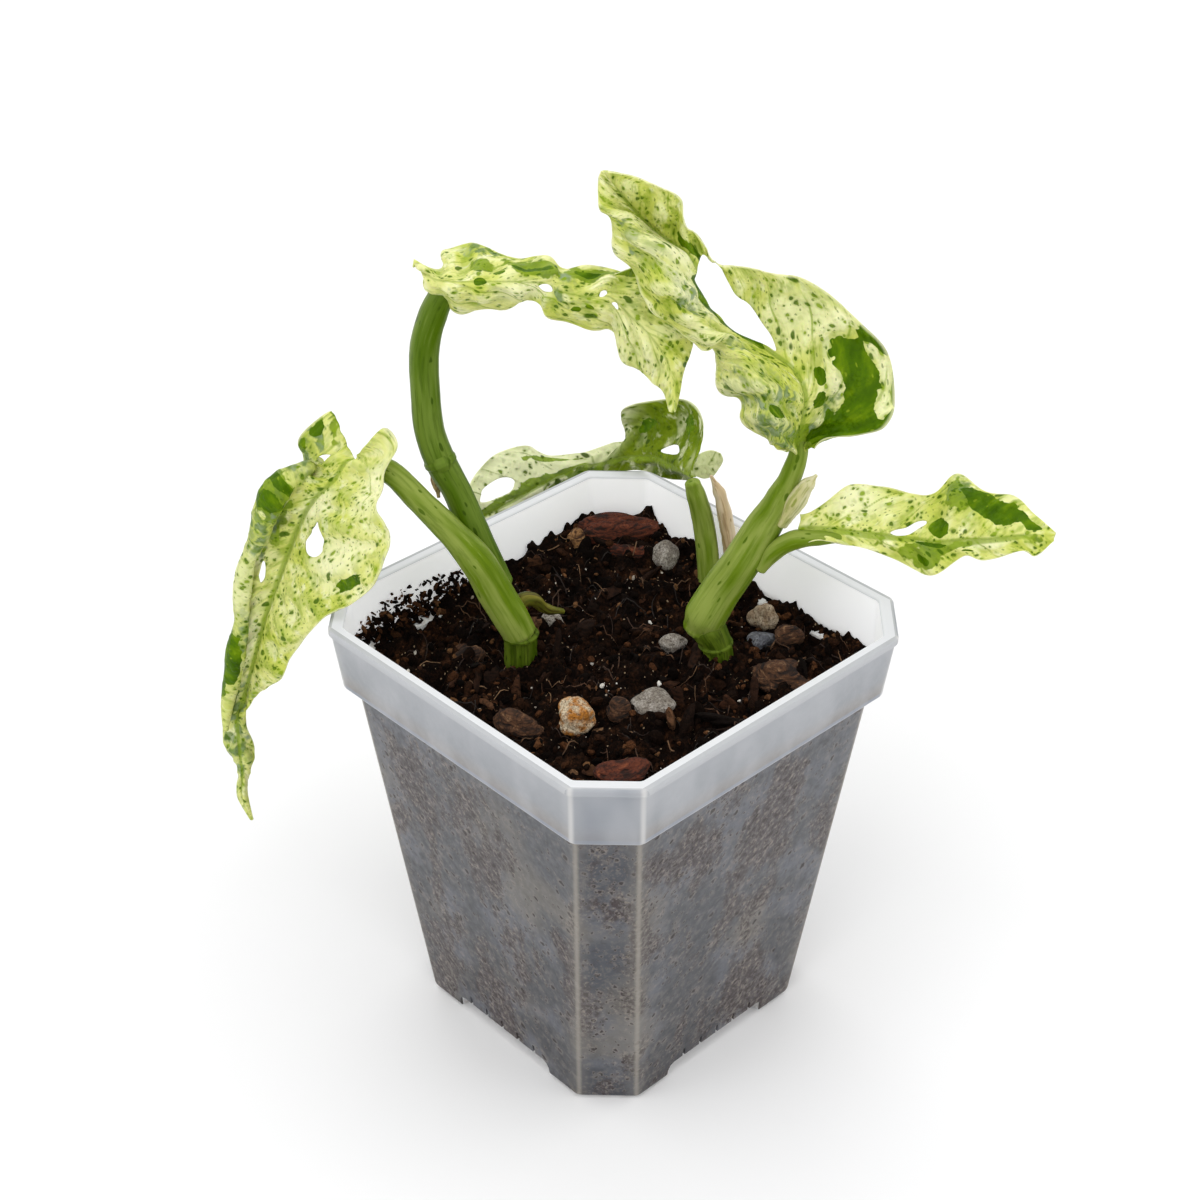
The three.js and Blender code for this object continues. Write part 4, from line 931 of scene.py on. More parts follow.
# Loose coir fibres, thin and bent, that lie on the surface.
FIBRE_COUNT = 230
FIBRE_STEPS = 8
FIBRE_SIDES = 6
points, faces, tones = [], [], []
feet = places_on_mix(draw, FIBRE_COUNT, 1.2)
for foot in feet:
    length = draw.uniform(2.5, 9)
    heading = draw.uniform(0, 2 * math.pi)
    bend = draw.uniform(-1.6, 1.6)
    steps = np.linspace(0, 1, FIBRE_STEPS)
    turn = heading + bend * steps
    x = foot[0] + np.cumsum(np.cos(turn)) * length / FIBRE_STEPS
    y = foot[1] + np.cumsum(np.sin(turn)) * length / FIBRE_STEPS
    x, y = within_pot(x, y, foot[2], GAP + 0.8)
    rise = draw.uniform(0.1, 1.2) * np.sin(steps * math.pi) + 0.15
    path = np.column_stack((x, y, soil_top(x, y) + rise))
    gaps = np.linalg.norm(np.diff(path, axis=0), axis=1)
    if gaps.min() < 0.1:
        continue
    radius = draw.uniform(0.07, 0.17)
    rings = thread(path, radius * (1 - 0.7 * steps ** 2), FIBRE_SIDES)
    faces += capped_tube(rings, len(points) * FIBRE_STEPS * FIBRE_SIDES)
    points.append(np.concatenate(rings))
    tones.append(np.full(FIBRE_STEPS * FIBRE_SIDES, draw.random()))
fibres = mesh_piece("fibres", np.concatenate(points) * MM, faces)
painted(fibres, "tone", np.concatenate(tones))
coir = loose_finish(
    "coir_fibre",
    [
        (0.0, paint(16, 9, 6)), (0.55, paint(48, 28, 16)), (0.85, paint(92, 60, 36)),
        (1.0, paint(150, 116, 82)),
    ],
    worn=paint(20, 12, 7), wear=(0.4, 0.6, 0.5), grain=((1.1, 1.1, 1.1), 3.0, 0.55), height=0.0001,
    roughness=0.85, strength=0.6,
)
fibres.data.materials.append(coir)
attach(fibres, "root")

# Stones and bark
# Lumps of pumice, an amber pebble and chips of orchid bark, pressed into the surface of the mix. The
# lump left of the pebble is brown like the bark. The stones are pitted, and the bark lies in layers.


def planted(points):
    """Places as seen over the front corner (x right, y away, z up, mm) in the frame of the pot (m)."""
    p = np.asarray(points, float).reshape(-1, 3)
    c, s = math.cos(POT_TURN), math.sin(POT_TURN)
    return np.column_stack((c * p[:, 0] + s * p[:, 1], c * p[:, 1] - s * p[:, 0], p[:, 2])) * MM


IN_THREE_COLOURS = {
    "Vector": ("vector", None), "Dark": ("colour", None), "Middle": ("colour", None),
    "Pale": ("colour", None),
}
LOOK = {"Colour": "colour", "Height": "number"}
layers, given, made = new_group("bark_layers", IN_THREE_COLOURS, LOOK)
sheets = stretched(layers, given.outputs["Vector"], (0.25, 0.5, 1.6))
band = grain_of(layers, sheets, 0.8, detail=5.0, roughness=0.65, distortion=0.8)
crumble = grain_of(layers, given.outputs["Vector"], 1.6, detail=4.0, roughness=0.7)
colour = layered(
    layers, given.outputs["Dark"],
    (band, (0.38, 0.56), given.outputs["Middle"]),
    (band, (0.56, 0.7), given.outputs["Pale"]),
    (crumble, (0.36, 0.5, 0.75, 0.0), given.outputs["Dark"]),
)
layers.links.new(colour, made.inputs["Colour"])
layers.links.new(reckon(layers, "ADD", band, times(layers, crumble, 0.5)), made.inputs["Height"])

pitted, given, made = new_group("pitted_stone", IN_THREE_COLOURS, LOOK)
cloud = grain_of(pitted, given.outputs["Vector"], 0.45, detail=4.0)
pores = node(pitted, "TexVoronoi", {"Vector": given.outputs["Vector"], "Scale": 1.5}).outputs["Distance"]
dust = grain_of(pitted, given.outputs["Vector"], 2.4, detail=4.0, roughness=0.7)
colour = layered(
    pitted, given.outputs["Middle"],
    (cloud, (0.4, 0.62), given.outputs["Pale"]),
    (pores, (0.12, 0.3, 0.7, 0.0), given.outputs["Dark"]),
    (dust, (0.4, 0.6, 0.6, 0.0), given.outputs["Dark"]),
)
pitted.links.new(colour, made.inputs["Colour"])
pitted.links.new(reckon(pitted, "ADD", between(pitted, pores, 0.05, 0.35), dust), made.inputs["Height"])


def mineral_finish(name, effect, dark, middle, pale, height):
    """A rough dry finish of bark or stone in three of its colours."""
    finish, tree, shader = finish_of(name, roughness=0.9, Specular_IOR_Level=0.3)
    inputs = {"Vector": millimetres(tree), "Dark": dark, "Middle": middle, "Pale": pale}
    look = node(tree, "Group", inputs, node_tree=effect)
    tree.links.new(look.outputs["Colour"], shader.inputs["Base Color"])
    relief(tree, shader, look.outputs["Height"], height, 0.8)
    return finish


reddish = mineral_finish(
    "bark_reddish", layers, paint(34, 17, 12), paint(92, 44, 27), paint(140, 78, 48), 0.0006,
)
brown = mineral_finish(
    "bark_brown", layers, paint(28, 17, 12), paint(84, 55, 36), paint(138, 104, 74), 0.0006,
)
tan = mineral_finish(
    "bark_tan", layers, paint(60, 38, 24), paint(146, 106, 66), paint(186, 150, 104), 0.0005,
)
grey = mineral_finish(
    "pumice_grey", pitted, paint(66, 52, 42), paint(142, 134, 124), paint(184, 177, 168), 0.0005,
)
beige = mineral_finish(
    "pumice_beige", pitted, paint(104, 82, 62), paint(176, 152, 126), paint(206, 188, 164), 0.0005,
)
slate = mineral_finish(
    "pumice_slate", pitted, paint(50, 48, 50), paint(98, 100, 108), paint(140, 142, 148), 0.0005,
)
amber = mineral_finish(
    "amber_stone", pitted, paint(88, 48, 16), paint(188, 122, 46), paint(224, 208, 178), 0.0003,
)

STONES = [
    ("bark_back", (1.5, 47.5, 86), (9, 3, 4.6), 0.1, 3, "bark", reddish),
    ("bark_reddish", (3, 42, 83.5), (5.2, 2.6, 2.8), -0.2, 5, "bark", reddish),
    ("bark_tan", (-8.2, 43.5, 84.5), (3, 2.2, 3.6), 0.4, 7, "bark", tan),
    ("bark_fibrous", (35.4, 0.5, 80.5), (6.6, 5, 3), -0.6, 9, "bark", brown),
    ("bark_front", (2, -29.5, 79), (4.6, 3.4, 2.6), 0.3, 11, "bark", reddish),
    ("bark_left", (-31, 7, 80.2), (4.4, 3.4, 2.4), 0.5, 13, "bark", brown),
    ("bark_dark", (1.5, -11, 80.4), (3, 2.4, 2.2), -0.4, 15, "bark", brown),
    ("bark_right", (36.5, 12.3, 82.8), (2.6, 2.4, 3.1), 0.2, 17, "bark", brown),
    ("stone_amber", (-7.3, -13.5, 81), (4.7, 3.3, 3), 0.2, 21, "stone", amber),
    ("stone_amber_left", (-18.9, -14.5, 79.6), (4.4, 3.4, 2.6), -0.5, 23, "bark", brown),
    ("pumice_front", (7.8, -9.2, 80.8), (4, 3.2, 2.7), 0.5, 25, "stone", grey),
    ("pumice_middle", (12.4, 11, 81.2), (3.1, 2.5, 2.1), 0.1, 27, "stone", grey),
    ("pumice_bud", (-12.8, 18, 81.6), (2.7, 2.4, 2.3), 0.7, 29, "stone", grey),
    ("pumice_beige", (31.5, 18.7, 83), (2.9, 2.6, 3.4), -0.3, 31, "stone", beige),
    ("pumice_back", (11.3, 38.8, 84.4), (3.3, 2.8, 4.2), 0.2, 33, "stone", grey),
    ("pumice_blue", (30.8, 12.6, 81), (3.1, 2.6, 2.1), 0.4, 35, "stone", slate),
]

ball, ball_faces = round_lump(5)
for name, middle, half, spin, seed, kind, finish in STONES:
    lump = 1 + 0.13 * np.sin(3.1 * ball[:, 0] + seed) + 0.11 * np.sin(3.7 * ball[:, 1] + 1.7 * seed)
    lump += 0.1 * np.sin(4.3 * ball[:, 2] + 2.3 * seed)
    if kind == "bark":
        lump += 0.05 * np.abs(rumple(ball * (0.5, 0.9, 2.6), 0.9, seed)) - 0.03
        lump += 0.025 * rumple(ball * (0.6, 1, 3), 0.35, seed + 100)
    else:
        lump += 0.035 * rumple(ball, 0.7, seed) - 0.02 * np.abs(rumple(ball, 0.28, seed + 100))
    stone = ball * lump[:, None] * half
    c, s = math.cos(spin), math.sin(spin)
    stone = stone @ np.array(((c, s, 0), (-s, c, 0), (0, 0, 1))) + middle
    piece = mesh_piece(f"{name}_lump", planted(stone), ball_faces)
    piece.data.materials.append(finish)
    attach(piece, "root")
    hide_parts(name)

# Left cutting
# A rooted node with two leaf stalks: a thick one that leans to the left, and a tall one that stands up
# behind it, with the old scale of a leaf at its joint and a small new bud at the foot. Living tissue:
# smooth, faintly ribbed along its length, flecked with darker green.
STALK_SIDES = 44


def eased_curve(points, places):
    """Places along a smooth line through points, which passes each at a whole number."""
    p = np.asarray(points, float)
    p = np.vstack((2 * p[0] - p[1], p, 2 * p[-1] - p[-2]))
    out = []
    for place in places:
        i = min(int(place), len(p) - 4)
        t = place - i
        a, b, c, d = p[i:i + 4]
        u, v, w = (max(np.linalg.norm(y - x) ** 0.5, 1e-2) for x, y in ((a, b), (b, c), (c, d)))
        first = ((b - a) / u - (c - a) / (u + v) + (c - b) / v) * v
        last = ((c - b) / v - (d - b) / (v + w) + (d - c) / w) * v
        square, cube = 3 * (c - b) - 2 * first - last, 2 * (b - c) + first + last
        out.append(b + first * t + square * t ** 2 + cube * t ** 3)
    return np.array(out)


def stalk(shape, sides=STALK_SIDES, steps=12):
    """The points, faces and lengthwise grain of a round stalk with domed ends and a furrow."""
    points, radii = shape["points"], shape["radii"]
    groove = shape.get("groove", 0)
    facing = np.array(shape.get("facing", (0, 0, 1)), float)
    ridge = shape.get("ridge", 0.02)
    spans = len(points) - 1
    places = np.linspace(0, spans, spans * steps + 1)
    line = eased_curve(points, places)
    tangents = np.gradient(line, axis=0)
    tangents /= np.linalg.norm(tangents, axis=1)[:, None]
    run = np.concatenate(((0,), np.cumsum(np.linalg.norm(np.diff(line, axis=0), axis=1))))
    whole = np.minimum(places.astype(int), spans - 1)
    t = places - whole
    radii = np.array(radii, float)
    girth = radii[whole] + (radii[whole + 1] - radii[whole]) * t * t * (3 - 2 * t)
    # Each end is rounded off over a third of its radius.
    start, stop = [], []
    for d, r in ((0.36, 0.5), (0.3, 0.78), (0.16, 0.94)):
        start.append((line[0] - tangents[0] * girth[0] * d, tangents[0], girth[0] * r, -girth[0] * d))
        stop.append((line[-1] + tangents[-1] * girth[-1] * d, tangents[-1], girth[-1] * r, run[-1]))
    along = start + list(zip(line, tangents, girth, run)) + stop[::-1]
    angles = np.arange(sides) * 2 * math.pi / sides
    to_groove = np.arctan2(np.sin(angles), np.cos(angles)) / 0.5
    profile = 1 - groove * np.exp(-to_groove ** 2) + ridge * np.sin(9 * angles + 1) * np.cos(4 * angles)
    made_points, grain = [], []
    for centre, tangent, radius, distance in along:
        facing = facing - tangent * (facing @ tangent)
        facing /= np.linalg.norm(facing)
        across = np.cross(tangent, facing)
        r = radius * profile
        u, v = r * np.cos(angles), r * np.sin(angles)
        made_points.append(centre + np.outer(u, facing) + np.outer(v, across))
        grain.append(np.column_stack((u, v, np.full(sides, distance))))
    return np.concatenate(made_points), capped_tube(made_points, 0), np.concatenate(grain)


RING_STEPS = 15


def joint_ring(at, along, radius, height=3.0):
    """The swollen ring of a leaf scar round a stalk."""
    steps = np.linspace(0, 1, RING_STEPS)
    path = np.array(at) + np.outer((steps - 0.5) * height, np.array(along) / np.linalg.norm(along))
    furrow = 0.05 * np.exp(-((steps - 0.5) / 0.06) ** 2)
    swell = radius * (0.93 + 0.19 * np.sin(steps * math.pi) ** 2 - furrow)
    rings = thread(path, swell, STALK_SIDES)
    around = np.tile(np.cos(np.arange(STALK_SIDES) / 7) * radius, RING_STEPS)
    grain = np.column_stack((around, np.zeros(len(around)), np.repeat(steps, STALK_SIDES) * 3))
    return np.concatenate(rings), capped_tube(rings, 0), grain


def grown_piece(name, shells, finish, roughness=0.05):
    """One piece of living tissue from one or more closed shells, laid out as the plant is."""
    points, faces, grain = [], [], []
    count = 0
    for shell_points, shell_faces, shell_grain in shells:
        faces += [tuple(count + k for k in f) for f in shell_faces]
        count += len(shell_points)
        points.append(shell_points)
        grain.append(shell_grain)
    points = np.concatenate(points)
    grain = np.concatenate(grain)
    piece = mesh_piece(name, planted(points), faces)
    layer = piece.data.attributes.new("grain", "FLOAT_VECTOR", "POINT")
    layer.data.foreach_set("vector", grain.astype(np.float32).ravel())
    piece.data.materials.append(finish)
    swell = bpy.data.textures.new(name, "CLOUDS")
    swell.noise_scale = 0.0022
    step = piece.modifiers.new("unevenness", "DISPLACE")
    step.texture = swell
    step.strength = roughness * MM * 2
    bpy.context.view_layer.objects.active = piece
    bpy.ops.object.modifier_apply(modifier=step.name)
    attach(piece, "root")
    return piece


skin, given, made = new_group(
    "stalk_skin",
    {
        "Grain": ("vector", None), "Base": ("colour", None), "Dark": ("colour", None),
        "Pale": ("colour", None), "Streaks": ("number", 0.5), "Flecks": ("number", 0.3),
    },
    LOOK,
)
drawn = stretched(skin, given.outputs["Grain"], (1.0, 1.0, 0.07))
fine_lines = grain_of(skin, drawn, 1.5, detail=4.0, roughness=0.6)
broad = grain_of(skin, stretched(skin, given.outputs["Grain"], (1.0, 1.0, 0.12)), 0.35, detail=2.0)
colour = layered(skin, given.outputs["Base"], (broad, (0.36, 0.66, 0.8, 0.0), given.outputs["Pale"]))
line_share = times(skin, between(skin, fine_lines, 0.5, 0.64), given.outputs["Streaks"])
colour = blend_of(skin, line_share, colour, given.outputs["Dark"])
pale_lines = between(skin, fine_lines, 0.3, 0.44, 0.5, 0.0)
colour = blend_of(skin, pale_lines, colour, given.outputs["Pale"])
dashes = stretched(skin, given.outputs["Grain"], (0.8, 0.8, 0.28))
marks = flecks_on(skin, dashes, given.outputs["Flecks"], 0.26, 0.3)
colour = blend_of(skin, times(skin, marks, 0.85), colour, given.outputs["Dark"])
skin.links.new(colour, made.inputs["Colour"])
skin.links.new(fine_lines, made.inputs["Height"])


def stalk_finish(name, base, dark, pale, streaks, flecks_share, roughness=0.4):
    """Smooth plant skin with lengthwise streaks and flecks."""
    finish, tree, shader = finish_of(
        name, roughness=roughness, Specular_IOR_Level=0.12, Specular_Tint=(0.85, 0.95, 0.6, 1),
        Subsurface_Weight=0.1, Subsurface_Radius=(0.7, 1.0, 0.3), Subsurface_Scale=0.0008,
    )
    inputs = {
        "Grain": node(tree, "Attribute", attribute_name="grain").outputs["Vector"],
        "Base": base, "Dark": dark, "Pale": pale, "Streaks": streaks, "Flecks": flecks_share,
    }
    look = node(tree, "Group", inputs, node_tree=skin)
    tree.links.new(look.outputs["Colour"], shader.inputs["Base Color"])
    relief(tree, shader, look.outputs["Height"], 0.00018, 0.7)
    return finish


stalk_green = stalk_finish(
    "stalk_green", paint(102, 128, 18), paint(70, 98, 2), paint(150, 164, 80), 0.35, 0.25,
)
stalk_dark = stalk_finish("stalk_dark", paint(76, 104, 4), paint(52, 76, 1), paint(112, 134, 52), 0.4, 0.2)
node_green = stalk_finish(
    "node_green", paint(62, 84, 6), paint(34, 50, 2), paint(100, 118, 34), 0.6, 0.3, 0.5,
)
bud_green = stalk_finish("bud_green", paint(70, 78, 18), paint(52, 34, 14), paint(124, 116, 44), 0.75, 0.45)
dry_tan = stalk_finish(
    "dry_tan", paint(150, 124, 88), paint(92, 66, 40), paint(190, 170, 132), 0.7, 0.2, 0.8,
)
sheath_pale = stalk_finish(
    "sheath_pale", paint(196, 192, 132), paint(138, 148, 60), paint(226, 220, 186), 0.6, 0.25,
)
sheath_blush = stalk_finish(
    "sheath_blush", paint(198, 172, 132), paint(148, 116, 76), paint(224, 208, 180), 0.7, 0.25,
)


def root(*points):
    """A thick pale root, from the foot of its stem."""
    return {"points": points, "radii": (1.6, 1.3, 1.1, 0.6)}


stem = {
    "points": ((-16, 9, 62), (-18, 7, 71), (-19, 6, 79.5), (-19, 6, 86), (-19.3, 6, 88.6)),
    "radii": (2, 3, 3.3, 3.25, 3.2), "ridge": 0.06,
}
roots = (
    root((-16, 9, 64), (-20, 13, 58), (-24, 14, 48), (-21, 10, 36)),
    root((-16, 9, 64), (-11, 5, 57), (-7, 3, 46), (-9, -2, 32)),
)
shells = [stalk(stem)] + [stalk(r, sides=16, steps=4) for r in roots]
shells.append(joint_ring((-19, 6, 87.2), (-0.05, 0, 1), 3.45, 1.4))
piece = grown_piece("left_stem", shells, node_green, 0.2)
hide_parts("stem_left")

leaning = {
    "points": (
        (-19.2, 6, 88), (-21, 6, 92), (-23.5, 6, 97), (-27, 5.5, 105), (-32.5, 5, 113), (-38, 4.5, 120),
        (-43.5, 4.5, 126.5), (-48, 5.5, 128),
    ),
    "radii": (3.7, 3.9, 3.9, 3.7, 3, 2.7, 2.5, 1.8), "groove": 0.12, "facing": (0.6, 0.3, 0.7),
}
piece = grown_piece("left_leaning_stalk", [stalk(leaning)], stalk_green)
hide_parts("petiole_left")

tall = {
    "points": (
        (-23, 10, 97), (-25.5, 10.5, 102.5), (-29, 11, 111.5), (-31.5, 12, 118), (-34.5, 13, 124),
        (-36.5, 14, 130.5), (-37, 15, 138), (-36.8, 15, 147.5), (-35, 14, 155), (-32, 12, 162),
        (-29, 10, 166),
    ),
    "radii": (2.6, 2.9, 3, 2.9, 3.1, 3, 2.9, 2.9, 2.8, 2.4, 1.8),
    "groove": 0.14, "facing": (0.3, -0.9, 0.1),
}
shells = [stalk(tall), joint_ring((-34.5, 13, 124), (-0.35, 0.15, 0.92), 3.05)]
piece = grown_piece("left_tall_stalk", shells, stalk_dark)
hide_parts("petiole_tall")

scale_leaf = {"points": ((-34.5, 16.5, 124), (-35.5, 15.5, 119), (-35.2, 14, 115)), "radii": (1, 1.4, 0.4)}
piece = grown_piece("left_dry_scale", [stalk(scale_leaf, sides=28)], dry_tan, 0.25)
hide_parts("cataphyll_left")

bud = {
    "points": (
        (-20, 9.5, 90.5), (-18.5, 11, 92.3), (-16.5, 12, 91.8), (-14, 13.5, 88.5), (-10.5, 15.5, 86.5),
    ),
    "radii": (1.2, 1.6, 1.5, 1.2, 0.6), "groove": 0.2,
}
piece = grown_piece("left_bud", [stalk(bud, sides=28)], bud_green, 0.15)
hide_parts("bud_left")

# Right cutting
# A second rooted node. Its thick stalk carries the top leaf and, from its side, the right leaf; a pale
# papery sheath that once wrapped the young leaf still clings to its upper part.
stem = {
    "points": ((24, 9, 62), (23, 7.5, 71), (22, 7, 79), (21, 7, 85), (19.5, 7.5, 88)),
    "radii": (2, 2.8, 3, 3.2, 3.6), "ridge": 0.03,
}
roots = (
    root((24, 9, 64), (27, 5, 57), (26, 1, 46), (20, -3, 34)),
    root((24, 9, 64), (20, 14, 58), (14, 15, 48), (11, 11, 38)),
)
shells = [stalk(stem)] + [stalk(r, sides=16, steps=4) for r in roots]
shells.append(joint_ring((21.1, 7, 84.4), (-0.15, 0, 1), 3.3, 1.4))
piece = grown_piece("right_stem", shells, node_green, 0.2)
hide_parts("stem_right")

upright = {
    "points": (
        (17.5, 8, 87.5), (19, 8, 91), (22.3, 9, 97), (26, 9, 103.5), (29.5, 10, 110), (33, 10, 117),
        (35, 10, 123), (36.3, 11, 128), (35.5, 11.5, 133),
    ),
    "radii": (3.4, 4.3, 4.1, 3.9, 3.7, 3.1, 2.2, 1.9, 1.4), "groove": 0.12, "facing": (0.7, 0.2, 0.6),
}
piece = grown_piece("right_stalk", [stalk(upright)], stalk_green)
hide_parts("petiole_right")

sheath = {
    "points": ((33.5, 7.5, 113), (36, 7.3, 118.5), (37.8, 6.6, 122.5), (39.5, 6, 125.3)),
    "radii": (1.2, 2, 1.5, 0.4), "groove": 0.25, "facing": (0.5, -0.8, 0.2),
}
piece = grown_piece("right_sheath", [stalk(sheath, sides=28)], sheath_pale, 0.2)
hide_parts("sheath_right")

side_stalk = {
    "points": ((29.5, 6.8, 103), (32.5, 6.8, 107.5), (36, 6, 110.4), (40, 5, 111.5), (45, 4.2, 112)),
    "radii": (1.3, 1.9, 2, 1.6, 1),
}
piece = grown_piece("right_side_stalk", [stalk(side_stalk, sides=32)], stalk_green)
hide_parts("petiole_side")

# Back shoot
# A third, younger shoot behind the right cutting, half wrapped in its own blush-coloured sheath. It
# carries the green leaf at the back.
stem = {
    "points": (
        (16, 23, 64), (18.5, 26.5, 72), (20.5, 29.5, 80), (20, 31.5, 90.5), (18.7, 32.6, 99),
        (17.3, 32.3, 104.5), (16.4, 32.4, 107.6),
    ),
    "radii": (1.6, 2.2, 2.5, 2.4, 2.3, 2.1, 1.7), "groove": 0.1, "facing": (0.2, -0.9, 0.2),
}
back_root = root((16.5, 23.5, 66), (13, 24, 58), (9, 25, 47), (7, 24, 38))
piece = grown_piece("back_stem", [stalk(stem, sides=36), stalk(back_root, sides=16, steps=4)], stalk_green)
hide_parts("stem_back")

sheath = {
    "points": ((25.5, 31, 86), (24.8, 31.6, 92), (23.6, 32, 99), (22.2, 32.4, 105), (20.3, 33, 109)),
    "radii": (0.8, 1.5, 1.6, 1.3, 0.4), "groove": 0.25, "facing": (0.5, -0.8, 0.2),
}
piece = grown_piece("back_sheath", [stalk(sheath, sides=28)], sheath_blush, 0.2)
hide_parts("sheath_back")

# Left leaf
# The lowest leaf hangs down outside the left corner of the pot. Cream tissue shot with lime and fine
# dark flecks along its side veins; its left margin is rolled up, and three holes open in the blade.
LEAF_THICKNESS = 0.4
ROW_CELLS = 13
ACROSS_CELLS = 84
BLADE_SCALE = np.array((7.0, 12.0))
LOBE_REACH = 1.5
VEIN_GAP = 5.5
VEINS_PER_ROW = 1.5
MARGIN_SHARE = 0.14
SPREAD_COLUMNS = 81
SPREAD_MIDDLE = SPREAD_COLUMNS // 2
ROW_PARTS = 4


def smooth_between(a, b, c, d, t):
    """A point of the smooth line from b to c."""
    square, cube = 2 * a - 5 * b + 4 * c - d, 3 * b - a - 3 * c + d
    return 0.5 * (2 * b + (c - a) * t + square * t ** 2 + cube * t ** 3)


def blade_points(rows, row, across):
    """Points of a blade: `row` counts rows from the stalk, `across` runs from -1 to 1."""
    last_row, last_column = rows.shape[0] - 1, rows.shape[1] - 1
    place = (across + 1) / 2 * last_column
    i = np.clip(np.floor(row).astype(int), 0, last_row - 1)
    j = np.clip(np.floor(place).astype(int), 0, last_column - 1)
    u, v = (row - i)[:, None], (place - j)[:, None]

    def along_row(k):
        """The places of the points on one row of the blade."""
        k = np.clip(k, 0, last_row)
        left, right = np.clip(j - 1, 0, last_column), np.clip(j + 2, 0, last_column)
        return smooth_between(rows[k, left], rows[k, j], rows[k, j + 1], rows[k, right], v)

    return smooth_between(along_row(i - 1), along_row(i), along_row(i + 1), along_row(i + 2), u)


def in_oval(oval, row, across):
    """The distance from the middle of an oval mark, where its outline is 1."""
    return np.hypot((row - oval[0]) / oval[2], (across - oval[1]) / oval[3])


def smooth_outline(corners, steps=6):
    """The closed rim of a hole through its corners, as rows and places across."""
    corners = np.array(corners, float)
    rim = []
    for i in range(len(corners)):
        a, b, c, d = (corners[(i + k) % len(corners)] for k in (-1, 0, 1, 2))
        rim += [smooth_between(a, b, c, d, t / steps) for t in range(steps)]
    return np.array(rim)


def inside_outline(outline, row, across):
    """Which places lie inside a closed rim."""
    inside = np.zeros(len(row), bool)
    for (row_a, across_a), (row_b, across_b) in zip(outline, np.roll(outline, -1, axis=0)):
        crosses = (across_a > across) != (across_b > across)
        rise = across_b - across_a if across_b != across_a else 1
        inside ^= crosses & (row < row_a + (across - across_a) * (row_b - row_a) / rise)
    return inside


def nearest_on(outline, row, across):
    """The place of a rim nearest to a point of the blade, and how far off it is in millimetres."""
    first = outline * BLADE_SCALE
    leg = np.roll(first, -1, axis=0) - first
    here = np.array((row, across)) * BLADE_SCALE
    share = np.clip(((here - first) * leg).sum(axis=1) / np.maximum((leg ** 2).sum(axis=1), 1e-12), 0, 1)
    found = first + leg * share[:, None]
    away = np.linalg.norm(found - here, axis=1)
    best = int(np.argmin(away))
    return found[best] / BLADE_SCALE, away[best]


def marked(marks, row, across):
    """The strength of a set of oval marks over a blade."""
    total = np.zeros(len(row))
    for mark in marks:
        strength = mark[4] if len(mark) > 4 else 1.0
        total = np.maximum(total, strength * np.clip(1.5 - in_oval(mark, row, across), 0, 1))
    return total


